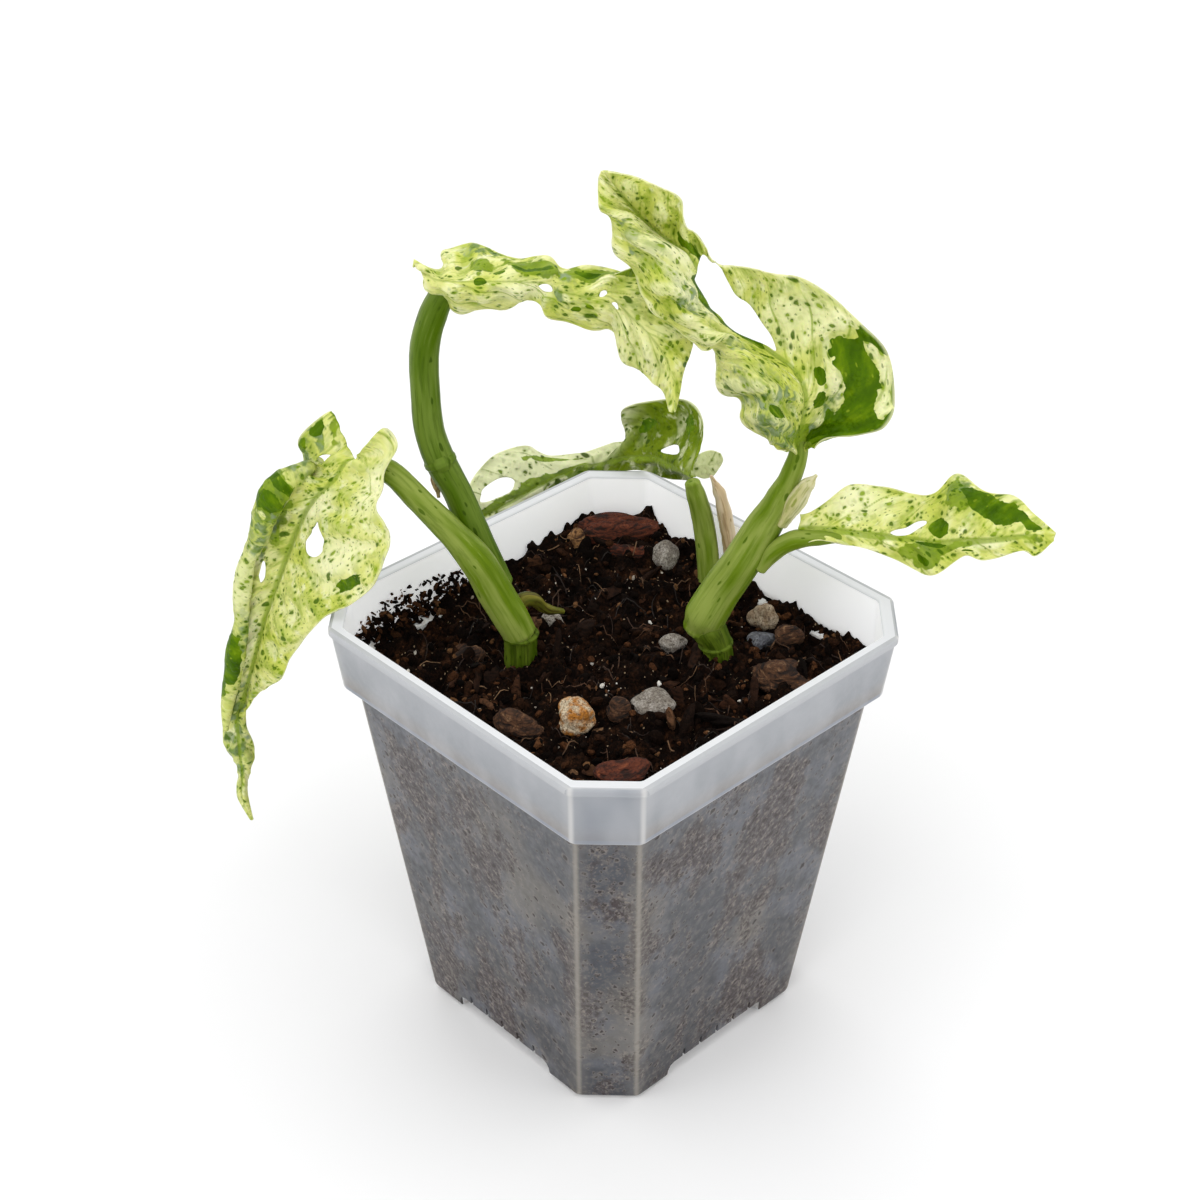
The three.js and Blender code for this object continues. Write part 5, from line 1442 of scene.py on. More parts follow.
def blade(leaf):
    """Both faces of a blade with its holes, its midrib, veins and puckers, and what its finish reads."""
    rows = np.array(leaf["rows"], float)
    last_row = len(rows) - 1
    holes = [smooth_outline(corners) for corners in leaf.get("holes", [])]
    long_cells = last_row * leaf.get("row_cells", ROW_CELLS)
    wide_cells = leaf.get("across_cells", ACROSS_CELLS)
    row, across = (a.ravel() for a in np.meshgrid(
        np.linspace(0, last_row, long_cells + 1), np.linspace(-1, 1, wide_cells + 1), indexing="ij",
    ))
    lobe_rows, lobe_share = leaf.get("lobes", (0.0, 0.3))
    corner = np.clip((np.abs(across) - 1 + lobe_share) / lobe_share, 0, 1)
    back = lobe_rows * (1 - np.sqrt(1 - corner ** 2))
    row = np.where(row < LOBE_REACH, back + row * (LOBE_REACH - back) / LOBE_REACH, row)
    width = wide_cells + 1
    cells = np.array([
        (i * width + j, i * width + j + 1, (i + 1) * width + j + 1, (i + 1) * width + j)
        for i in range(long_cells) for j in range(wide_cells)
    ])
    border = np.zeros((long_cells + 1, width), bool)
    border[[0, -1], :] = True
    border[:, [0, -1]] = True
    border = border.ravel()
    middle_row, middle_across = row[cells].mean(axis=1), across[cells].mean(axis=1)
    for hole in holes:
        shut = ~inside_outline(hole, middle_row, middle_across)
        cells, middle_row, middle_across = cells[shut], middle_row[shut], middle_across[shut]
    rim = open_edges(cells.tolist())
    for n in {k for edge in rim for k in edge}:
        if not border[n]:
            found = [nearest_on(hole, row[n], across[n]) for hole in holes]
            (row[n], across[n]), _ = min(found, key=lambda f: f[1])

    flat = blade_points(rows, row, across)
    ahead = blade_points(rows, np.minimum(row + 0.12, last_row), across)
    behind = blade_points(rows, np.maximum(row - 0.12, 0), across)
    right = blade_points(rows, row, np.minimum(across + 0.08, 1))
    left = blade_points(rows, row, np.maximum(across - 0.08, -1))
    normal = np.cross(right - left, ahead - behind)
    normal /= np.maximum(np.linalg.norm(normal, axis=1), 1e-9)[:, None]

    # Millimetres across from the midrib and along it, and from them along and between the side veins.
    fine_across = np.linspace(-1, 1, SPREAD_COLUMNS)
    quarter = np.linspace(0, last_row, ROW_PARTS * last_row + 1)
    spread = []
    for r in quarter:
        line = blade_points(rows, np.full(SPREAD_COLUMNS, r), fine_across)
        run = np.concatenate(((0,), np.cumsum(np.linalg.norm(np.diff(line, axis=0), axis=1))))
        spread.append((run[SPREAD_MIDDLE], run[-1] - run[SPREAD_MIDDLE]))
    spread = np.array(spread)
    half_left, half_right = np.interp(row, quarter, spread[:, 0]), np.interp(row, quarter, spread[:, 1])
    out = np.abs(across) * np.where(across < 0, half_left, half_right)
    spine = blade_points(rows, quarter, np.zeros(len(quarter)))
    down = np.concatenate(((0,), np.cumsum(np.linalg.norm(np.diff(spine, axis=0), axis=1))))
    along = np.interp(row, quarter, down)
    sweep = leaf.get("sweep", 1.2)
    between_veins = (along - sweep * out) / math.hypot(1, sweep)
    along_veins = out * math.hypot(1, sweep) + sweep * between_veins

    # The same waves as the solid's, then puckers between the veins, fine ones in them and a crisper
    # margin.
    side = np.where(across < 0, 0.9, 0.0)
    veins = np.sin(VEINS_PER_ROW * math.pi * (row - np.abs(across) * 0.8) + side)
    fade = np.minimum(1, (last_row - row) / 3)
    wave = leaf.get("pucker", 0.5) * veins * np.sin(math.pi * np.minimum(1, np.abs(across) * 1.15))
    wave += leaf.get("ruffle", 0.6) * np.abs(across) ** 3 * np.sin(VEINS_PER_ROW * 2.1 * row + 2 * side)
    over_blade = np.column_stack((between_veins, along_veins * 0.6, side * 9))
    crimp = leaf.get("crimp", 0.5)
    inner = np.minimum(1, out / 2.5) * np.minimum(1, (1 - np.abs(across)) * 6 + 0.35)
    quilt = np.minimum(1, marked(leaf.get("quilt", []), row, across)) * np.minimum(1, out / 1.5)
    wave += 1.3 * quilt * (np.abs(rumple(over_blade, 11.0, leaf["seed"] + 2)) - 0.6)
    wave += crimp * inner * (np.abs(rumple(over_blade, 5.6, leaf["seed"])) - 0.5)
    wave += 0.2 * crimp * inner * rumple(over_blade, 2.4, leaf["seed"] + 1)
    phase = np.abs((between_veins / VEIN_GAP) % 1 - 0.5)
    wave -= 0.2 * np.exp(-(phase / 0.06) ** 2) * inner
    edge = np.clip((np.abs(across) - 1 + MARGIN_SHARE) / MARGIN_SHARE, 0, 1)
    wave += 0.2 * edge ** 2 * np.sin(row * 3.7 + 3 * side) * np.minimum(1, out / 6)
    middle = flat + normal * (fade * wave)[:, None]

    thick = LEAF_THICKNESS / 2 * (1 - 0.45 * edge)
    rib_width = 0.5 + 0.6 * (1 - row / last_row)
    ridge = leaf.get("rib", 1) * np.exp(-(out / rib_width) ** 2) * np.minimum(1, (last_row - row) / 2)
    rib_side = leaf.get("rib_side", -1)
    crease = 0.3 * ridge
    rib = 1.15 * (1 - row / last_row) * ridge
    top = middle + normal * (thick + (rib if rib_side > 0 else -crease))[:, None]
    low = middle - normal * (thick + (rib if rib_side < 0 else -crease))[:, None]
    used = np.unique(cells)
    number = np.full(len(row), -1)
    number[used] = np.arange(len(used))
    count = len(used)
    faces = [tuple(number[c]) for c in cells]
    faces += [tuple(number[c[::-1]] + count) for c in cells]
    faces += [(number[a], number[a] + count, number[b] + count, number[b]) for a, b in rim]
    points = np.concatenate((top[used], low[used]))
    marks = {
        "between": between_veins, "along": along_veins + 40 * side, "pucker_shading": wave,
        "vein": phase, "midrib": ridge, "edge": edge,
    }
    for name in ("dark", "grey", "fresh", "dense", "pale"):
        marks[name] = marked(leaf.get(name, []), row, across)
    marks = {name: np.tile(value[used], 2) for name, value in marks.items()}
    marks["under"] = np.repeat((0.0, 1.0), count) if rib_side < 0 else np.repeat((1.0, 0.0), count)
    return points, faces, marks


def leaf_piece(name, node_name, blades, finish):
    """One leaf from its blade and any lobe that stands apart from it."""
    points, faces, marks = [], [], []
    count = 0
    for blade_parts in blades:
        faces += [tuple(count + k for k in f) for f in blade_parts[1]]
        points.append(blade_parts[0])
        marks.append(blade_parts[2])
        count += len(blade_parts[0])
    piece = mesh_piece(name, planted(np.concatenate(points)), faces)
    for mark in marks[0]:
        painted(piece, mark, np.concatenate([m[mark] for m in marks]))
    piece.data.materials.append(finish)
    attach(piece, "root")
    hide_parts(node_name)


def mark_of(tree, name):
    """What the mesh of a leaf says of a point, such as how near its edge it is."""
    return node(tree, "Attribute", attribute_name=name).outputs["Fac"]


def leaf_finish(name, ground, haze, dark, share):
    """The marbled finish of a blade: ground, veins, flecks and patches, matt satin on both faces."""
    finish, tree, shader = finish_of(
        name, roughness=0.45, Specular_IOR_Level=0.1, Specular_Tint=(0.85, 0.95, 0.6, 1),
        Subsurface_Weight=0.12, Subsurface_Radius=(0.7, 1.0, 0.3), Subsurface_Scale=0.0004,
    )
    vein_space = node(tree, "CombineXYZ", (mark_of(tree, "between"), mark_of(tree, "along"), 0.0))
    vein_space = vein_space.outputs[0]
    place = millimetres(tree)
    cloud = grain_of(tree, place, 0.1, detail=2.0)
    ragged = grain_of(tree, place, 0.42, detail=2.0, roughness=0.5)
    streak = grain_of(tree, stretched(tree, vein_space, (0.42, 0.16, 1)), 1.0, detail=3.0, roughness=0.55)
    fibre = grain_of(tree, stretched(tree, vein_space, (1.5, 0.3, 1)), 1.0, detail=1.5, roughness=0.55)

    # Cream between green, lime along the veins; painted light on pucker crests, painted shade in hollows.
    pucker_shading = mark_of(tree, "pucker_shading")
    colour = layered(
        tree, ground[0],
        (cloud, (0.4, 0.6), ground[1]),
        (streak, (0.3, 0.46, 0.8, 0.0), ground[2]),
        (pucker_shading, (0.1, 0.6, 0.0, 0.5), ground[2]),
        (streak, (0.54, 0.68, 0.0, 0.6), haze),
        (fibre, (0.56, 0.68, 0.0, 0.35), haze),
        (pucker_shading, (-0.5, -0.15, 0.35, 0.0), haze),
    )
    colour = blend_of(tree, times(tree, mark_of(tree, "pale"), 0.85), colour, ground[2])
    vein = between(tree, mark_of(tree, "vein"), 0.015, 0.05, 1.0, 0.0)
    vein = times(tree, vein, between(tree, streak, 0.35, 0.6))
    colour = blend_of(tree, times(tree, vein, 0.7), colour, haze)
    colour = blend_of(tree, times(tree, mark_of(tree, "under"), 0.25), colour, paint(172, 186, 104))

    # Bright green patches, and cells of grey-green with a pale net between them.
    fresh = reckon(tree, "ADD", mark_of(tree, "fresh"), between(tree, ragged, 0.3, 0.7, -0.3, 0.3))
    lime = ramp(tree, streak, [
        (0.35, paint(92, 122, 6)), (0.55, paint(122, 148, 22)), (0.7, paint(150, 170, 60)),
    ])
    colour = blend_of(tree, between(tree, fresh, 0.42, 0.62, 0.0, 0.92), colour, lime)
    shifted = node(tree, "TexNoise", {"Vector": place, "Scale": 0.5, "Detail": 2.0}).outputs["Color"]
    shifted = node(tree, "VectorMath", {0: shifted, "Scale": 2.2}, operation="SCALE").outputs[0]
    shifted = node(tree, "VectorMath", (shifted, place), operation="ADD").outputs[0]
    net = node(tree, "TexVoronoi", {"Vector": shifted, "Scale": 0.3}, feature="DISTANCE_TO_EDGE")
    net = between(tree, net.outputs["Distance"], 0.02, 0.2, 0.25, 0.95)
    cell = node(tree, "TexVoronoi", {"Vector": shifted, "Scale": 0.3})
    chance = node(tree, "SeparateColor", (cell.outputs["Color"],)).outputs[0]
    grey = reckon(tree, "ADD", mark_of(tree, "grey"), between(tree, ragged, 0.3, 0.7, -0.25, 0.25))
    grey = times(tree, between(tree, grey, 0.35, 0.6), net)
    grey = times(tree, grey, between(tree, chance, 0.3, 0.5, 0.3, 1.0))
    grey_green = ramp(tree, ragged, [
        (0.35, paint(88, 118, 40)), (0.5, paint(118, 140, 86)), (0.66, paint(142, 160, 122)),
    ])
    colour = blend_of(tree, grey, colour, grey_green)
    rib = between(tree, mark_of(tree, "midrib"), 0.35, 0.8, 0.0, 0.75)
    colour = blend_of(tree, rib, colour, paint(136, 160, 48))

    # Separate flecks, most under a millimetre, each with a faint green halo.
    density = between(tree, cloud, 0.35, 0.65, share * 0.7, share * 1.2)
    density = reckon(tree, "MULTIPLY_ADD", mark_of(tree, "dense"), 0.4, density)
    fleck_space = stretched(tree, vein_space, (0.78, 0.56, 1))
    small, halo = ringed_flecks(tree, fleck_space, density, 0.29, 0.3)
    colour = blend_of(tree, times(tree, halo, 0.3), colour, haze)
    tiny_share = times(tree, density, 0.6)
    tiny = flecks_on(tree, stretched(tree, vein_space, (1.5, 0.8, 1)), tiny_share, 0.26, 0.3)
    colour = blend_of(tree, times(tree, tiny, 0.6), colour, dark)
    worn_dark = blend_of(tree, between(tree, ragged, 0.4, 0.6), dark, haze)
    colour = blend_of(tree, times(tree, small, 0.9), colour, worn_dark)
    large_share = times(tree, density, 0.5)
    large = flecks_on(tree, stretched(tree, vein_space, (0.36, 0.22, 1)), large_share, 0.22, 0.4)
    colour = blend_of(tree, times(tree, large, 0.92), colour, dark)

    # Solid dark green, crisp along its edge, with yellower drifts and small glints in it.
    patch = reckon(tree, "ADD", mark_of(tree, "dark"), between(tree, cloud, 0.3, 0.7, -0.12, 0.12))
    patch = reckon(tree, "ADD", patch, between(tree, ragged, 0.3, 0.7, -0.2, 0.2))
    patch = reckon(tree, "SUBTRACT", patch, times(tree, mark_of(tree, "pale"), 0.9))
    patch = between(tree, patch, 0.5, 0.54)
    green = ramp(tree, streak, [
        (0.3, paint(54, 86, 0)), (0.5, paint(76, 110, 1)), (0.64, paint(104, 134, 4)),
        (0.74, paint(140, 160, 40)),
    ])
    glints = flecks_on(tree, stretched(tree, vein_space, (0.9, 0.5, 1)), 0.3, 0.22, 0.3)
    green = blend_of(tree, times(tree, glints, 0.6), green, paint(148, 168, 40))
    colour = blend_of(tree, patch, colour, green)
    margin = between(tree, mark_of(tree, "edge"), 0.5, 0.95, 0.0, 0.6)
    colour = blend_of(tree, margin, colour, ground[2])
    tree.links.new(colour, shader.inputs["Base Color"])
    tree.links.new(between(tree, streak, 0.3, 0.7, 0.38, 0.5), shader.inputs["Roughness"])
    skin = node(tree, "TexVoronoi", {"Vector": place, "Scale": 0.75}).outputs["Distance"]
    fine = reckon(tree, "ADD", between(tree, skin, 0.2, 0.6, 1.0, 0.0), fibre)
    relief(tree, shader, fine, 0.00022, 0.6)
    return finish


cream_leaf = leaf_finish(
    "variegated_cream",
    ground=(paint(219, 222, 136), paint(200, 208, 96), paint(242, 242, 192)),
    haze=paint(134, 160, 32), dark=paint(66, 100, 0), share=0.95,
)
left_leaf = {
    "seed": 31, "sweep": 1.3,
    "dark": [
        (6.05, 0.72, 0.36, 0.1), (9.6, -0.75, 1.0, 0.3), (10.9, -0.6, 0.7, 0.3), (4.2, -0.78, 0.35, 0.2),
        (0.55, -0.85, 0.22, 0.1), (1.15, -0.9, 0.25, 0.08),
    ],
    "grey": [
        (4.8, -0.62, 0.9, 0.3), (7.2, -0.9, 2.0, 0.2), (12.5, -0.3, 2.5, 1.0, 0.8), (9.0, -0.95, 2, 0.3),
        (1.5, -0.8, 1.0, 0.3, 0.8),
    ],
    "fresh": [(3.7, -0.7, 0.7, 0.25), (0.6, -0.8, 0.7, 0.35, 0.55), (4.6, -0.3, 1.0, 0.1, 0.8)],
    "dense": [
        (4.4, -0.15, 1.2, 0.2), (3.4, 0.45, 1.2, 0.35), (8.0, 0.2, 1.5, 0.5), (9.5, 0.6, 1, 0.4),
        (1.0, 0.5, 1.0, 0.4, 0.5),
    ],
    "pale": [(5.2, 0.5, 0.6, 0.2), (3.2, 0.1, 0.8, 0.2), (2.4, 0.8, 1.2, 0.2), (8.5, -0.3, 1.2, 0.2)],
    "rib_side": 1,
    "pucker": 0.5,
    "ruffle": 0.7,
    "rows": [
        [[-55.5, 14, 135.5], [-53, 10.5, 131.5], [-50.5, 6, 128.5], [-48, 4, 132.5], [-44.5, 2, 138]],
        [[-62, 15, 128], [-56.5, 10.5, 126.5], [-52.5, 6, 127.5], [-46.5, 3, 130.5], [-41.5, 1, 134]],
        [[-63, 16, 121], [-59.5, 12, 121.5], [-55.5, 7, 122.5], [-49, 3, 125.5], [-44.5, -0.5, 127.5]],
        [[-69.5, 13.5, 116.5], [-63.5, 10.5, 120.5], [-59.5, 8.5, 117.5], [-52, 2, 121], [-45.5, -3, 124]],
        [[-72.5, 14, 111], [-67.5, 10, 115.5], [-62.5, 9, 112], [-53.5, 0, 117], [-44, -5.5, 120.5]],
        [[-73.5, 14, 106], [-70, 11.5, 108], [-65, 10, 105.5], [-54.5, 0.5, 110], [-43.5, -6, 115.5]],
        [[-76.5, 13, 98.5], [-72, 11, 100.5], [-67.5, 10, 99], [-57.5, 1, 103], [-46, -7, 109]],
        [[-76.5, 12, 93.5], [-73.5, 10, 94], [-70, 10, 92.5], [-61.5, 2, 96], [-51.5, -5, 102]],
        [[-78, 11, 87.5], [-75, 10, 87.5], [-72, 9, 87], [-66, 3, 89.5], [-59.5, -2, 94.5]],
        [[-80, 11, 80], [-76.5, 9, 81], [-74, 9, 80.5], [-70, 6.5, 80.5], [-65.5, 3, 84]],
        [[-81, 11, 74], [-78, 8.5, 75], [-76, 9, 74], [-73, 7.5, 74], [-69, 6, 75.5]],
        [[-81.5, 11, 68.5], [-79.5, 8.5, 69.5], [-78, 9, 68], [-76.5, 8, 68.5], [-75.5, 8, 69]],
        [[-83, 11, 62.5], [-81, 8.5, 63.5], [-79.5, 8, 63.5], [-78.5, 8, 64], [-77.5, 8, 64.5]],
        [[-82.5, 10, 55], [-81, 7.5, 56.5], [-79.5, 7, 56.5], [-78, 7.5, 56.5], [-77, 9, 57]],
        [[-81, 9, 48.5], [-80, 7.5, 49.5], [-79.5, 7, 49.5], [-78.5, 7.5, 49.5], [-78, 9, 49]],
        [[-81, 8, 42.5], [-80.4, 7, 43], [-80, 7, 43], [-79.6, 7, 43], [-79, 8, 43]],
        [[-78.9, 7, 37.2], [-78.7, 7, 37.1], [-78.5, 7, 37], [-78.3, 7, 37.1], [-78.1, 7, 37.2]],
    ],
    "lobes": (0.3, 0.3),
    "holes": [
        [
            (3.85, 0.22), (4.2, 0.29), (4.6, 0.34), (4.95, 0.35), (5.15, 0.31), (5.12, 0.23), (4.88, 0.17),
            (4.6, 0.14), (4.2, 0.18),
        ],
        [(5.85, -0.42), (6.05, -0.34), (6.35, -0.32), (6.55, -0.38), (6.3, -0.46), (6.0, -0.48)],
        [(1.0, -0.55), (0.88, -0.42), (1.1, -0.4), (1.38, -0.5), (1.25, -0.6)],
    ],
}

# Its left margin is rolled into a tube, wide and bright near the stalk and slack below.
ROLL_PATH = [
    (-58.8, 15.8, 122.2), (-60.4, 12.5, 122.6), (-63.8, 10.5, 121.4), (-67.0, 7.8, 119.2),
    (-69.7, 8.2, 112.6),
    (-72.1, 9.8, 106.1), (-74.2, 9.3, 101.7), (-75.5, 9.0, 95.8), (-76.2, 8.0, 89.0), (-77.5, 7.0, 82.2),
    (-79.2, 6.8, 74.7), (-80.9, 7.2, 68.0), (-81.6, 5.8, 62.4),
]
ROLL_RADII = [0.8, 1.5, 2.5, 3.2, 2.7, 1.9, 1.8, 2.1, 1.6, 2.3, 2.0, 1.4, 0.5]
ROLL_START = math.radians(-100)
ROLL_TURN = math.radians(275)


def rolled_rows(path, radii, turn, columns=9):
    """Rows of a margin rolled up about a path, from its join with the blade round to its lip."""
    path = np.array(path)
    ahead = np.gradient(path, axis=0)
    ahead /= np.linalg.norm(ahead, axis=1)[:, None]
    made = []
    for at, along, radius in zip(path, ahead, radii):
        right = np.cross((0, -1, 0.25), along)
        right /= np.linalg.norm(right)
        front = np.cross(along, right)
        arc = np.linspace(ROLL_START, ROLL_START + turn, columns)
        spiral = radius * np.linspace(1, 0.8, columns)
        made.append(at + np.outer(spiral * np.cos(arc), -right) + np.outer(spiral * np.sin(arc), front))
    return made


left_roll = {
    "seed": 37, "sweep": 0.5, "row_cells": 10, "across_cells": 40, "crimp": 0.35, "rib": 0,
    "grey": [(1.2, 0, 1.0, 3), (4.5, 0, 0.9, 3), (8.3, 0.2, 0.9, 3, 0.8)],
    "fresh": [(2.9, 0, 0.8, 3)],
    "dark": [(3.15, -0.2, 0.3, 1.2), (2.5, 0.3, 0.2, 1.2), (9.2, 0.1, 0.9, 0.6), (10.2, -0.3, 0.7, 0.5)],
    "pale": [(6.6, 0, 1.2, 3, 0.8)],
    "pucker": 0.12,
    "ruffle": 0.0,
    "rows": rolled_rows(ROLL_PATH, ROLL_RADII, ROLL_TURN),
}
leaf_piece("left_leaf", "leaf_left", [blade(left_leaf), blade(left_roll)], cream_leaf)

# Upper leaf
# Cream and lime, twisted along its length and held level across the plant by the tall stalk, with a
# fan at its end, three holes, and a flap of its upper margin folded back behind it.
upper_leaf = {
    "seed": 41, "sweep": 2.4,
    "dark": [
        (8.1, 0.35, 0.17, 0.09), (7.6, 0.45, 0.17, 0.09), (5.7, -0.52, 0.5, 0.08), (4.9, -0.44, 0.45, 0.06),
        (3.1, 0.0, 0.25, 0.08), (4.0, -0.2, 0.3, 0.07), (4.5, 0.15, 0.5, 0.06), (7.9, -0.7, 0.4, 0.07),
    ],
    "grey": [
        (3.4, -0.8, 0.8, 0.2, 0.8), (7.1, -0.1, 0.9, 0.4, 0.9), (7.3, 0.3, 0.6, 0.2, 0.8),
        (2.2, 0.5, 1.2, 0.4, 0.4),
    ],
    "fresh": [
        (5.4, -0.5, 1.3, 0.26), (3.1, -0.35, 0.6, 0.12), (7.9, -0.7, 0.8, 0.2, 0.9),
        (4.0, -0.85, 0.5, 0.15, 0.7),
    ],
    "dense": [(7.5, 0.3, 1.2, 0.5), (1.5, 0, 1.2, 0.8, 0.5)],
    "pale": [(10.5, 0.4, 1.5, 0.5, 0.5), (5.0, 0.3, 1.2, 0.4)],
    "rib": 0.6,
    "pucker": 0.5,
    "ruffle": 0.6,
    "rows": [
        [[-38, 14, 166.5], [-37.8, 12.5, 167], [-37, 12, 166.5], [-36.2, 12, 165.7], [-35.5, 12, 165]],
        [[-33, 14, 166], [-33.3, 9, 167], [-33.5, 8, 166], [-34, 8.5, 164.2], [-34.5, 11, 161.5]],
        [[-32, 18, 167], [-30, 11, 167], [-29.5, 6, 166.5], [-30.2, 7, 163], [-31, 12, 158]],
        [[-27.5, 18, 169], [-26, 12, 168], [-25.5, 5, 167], [-25.7, 6, 163], [-26.5, 12, 157.5]],
        [[-22.5, 16, 167.5], [-21.7, 11, 167.8], [-21, 5, 167], [-21, 6, 163.5], [-21.5, 11, 158.5]],
        [[-18, 14, 168], [-17.2, 8, 168.3], [-17, 6, 166.5], [-16.7, 6.5, 164], [-17.5, 10, 160.5]],
        [[-13, 12, 168.5], [-11.7, 7, 168], [-12.5, 6, 166], [-13, 6.5, 163.5], [-14, 8, 161]],
        [[-9.5, 11, 167.5], [-9.8, 6.5, 167], [-10, 4, 165.5], [-10.7, 4.5, 162.5], [-12, 8, 158]],
        [[-4.5, 10, 167.5], [-4.5, 6.5, 166.3], [-5, 4, 164.5], [-5.2, 4.5, 161], [-6, 8, 156]],
        [[3, 12, 166], [0.8, 7.5, 166], [-1, 4, 164.5], [-1, 4.5, 161], [-1.5, 8, 156]],
        [[6.5, 10, 163], [5, 7, 162], [3, 5, 160], [2, 4.5, 157.5], [0.5, 7, 152.5]],
        [[11.5, 8, 157], [9.3, 6, 156.8], [7, 4, 156], [5, 4.5, 152.8], [3, 7, 148.5]],
        [[14.5, 8, 153], [12.3, 5, 152.7], [10, 4, 151], [8.5, 4.5, 149], [6.5, 6, 146.5]],
        [[13, 5, 147.5], [11.8, 3.5, 147.5], [11, 3, 146.5], [10.2, 3.5, 146], [9, 5, 144.5]],
        [[11.6, 2, 141.5], [11.3, 1.9, 141.5], [11, 1.8, 141.5], [10.7, 1.9, 141.5], [10.4, 2, 141.5]],
    ],
    "holes": [
        [
            (5.6, 0.13), (5.75, 0.02), (6.0, -0.02), (6.25, 0.02), (6.4, 0.13), (6.25, 0.25), (6.0, 0.28),
            (5.75, 0.25),
        ],
        [(8.5, -0.15), (8.72, -0.2), (8.85, -0.1), (8.72, 0.02), (8.52, 0.02)],
        [(9.15, 0.12), (9.4, 0.0), (9.48, 0.15), (9.3, 0.25)],
    ],
}
upper_flap = {
    "seed": 43, "sweep": 1.0, "row_cells": 14, "across_cells": 26, "crimp": 0.1, "rib": 0,
    "fresh": [(1.5, 0, 6, 6)],
    "pucker": 0,
    "ruffle": 0,
    "rows": [
        [[-1.5, 7, 167], [-0.5, 7, 166], [0, 7, 164.5]],
        [[1.5, 10, 167], [2, 10, 165], [3, 9, 163.5]],
        [[4, 12, 167], [4.5, 12, 165], [5.5, 11, 163]],
        [[6.5, 12, 167.5], [7, 12, 165], [7.5, 11, 163.5]],
    ],
}
blades = [blade(upper_leaf), blade(upper_flap)]
leaf_piece("upper_leaf", "leaf_upper", blades, cream_leaf)

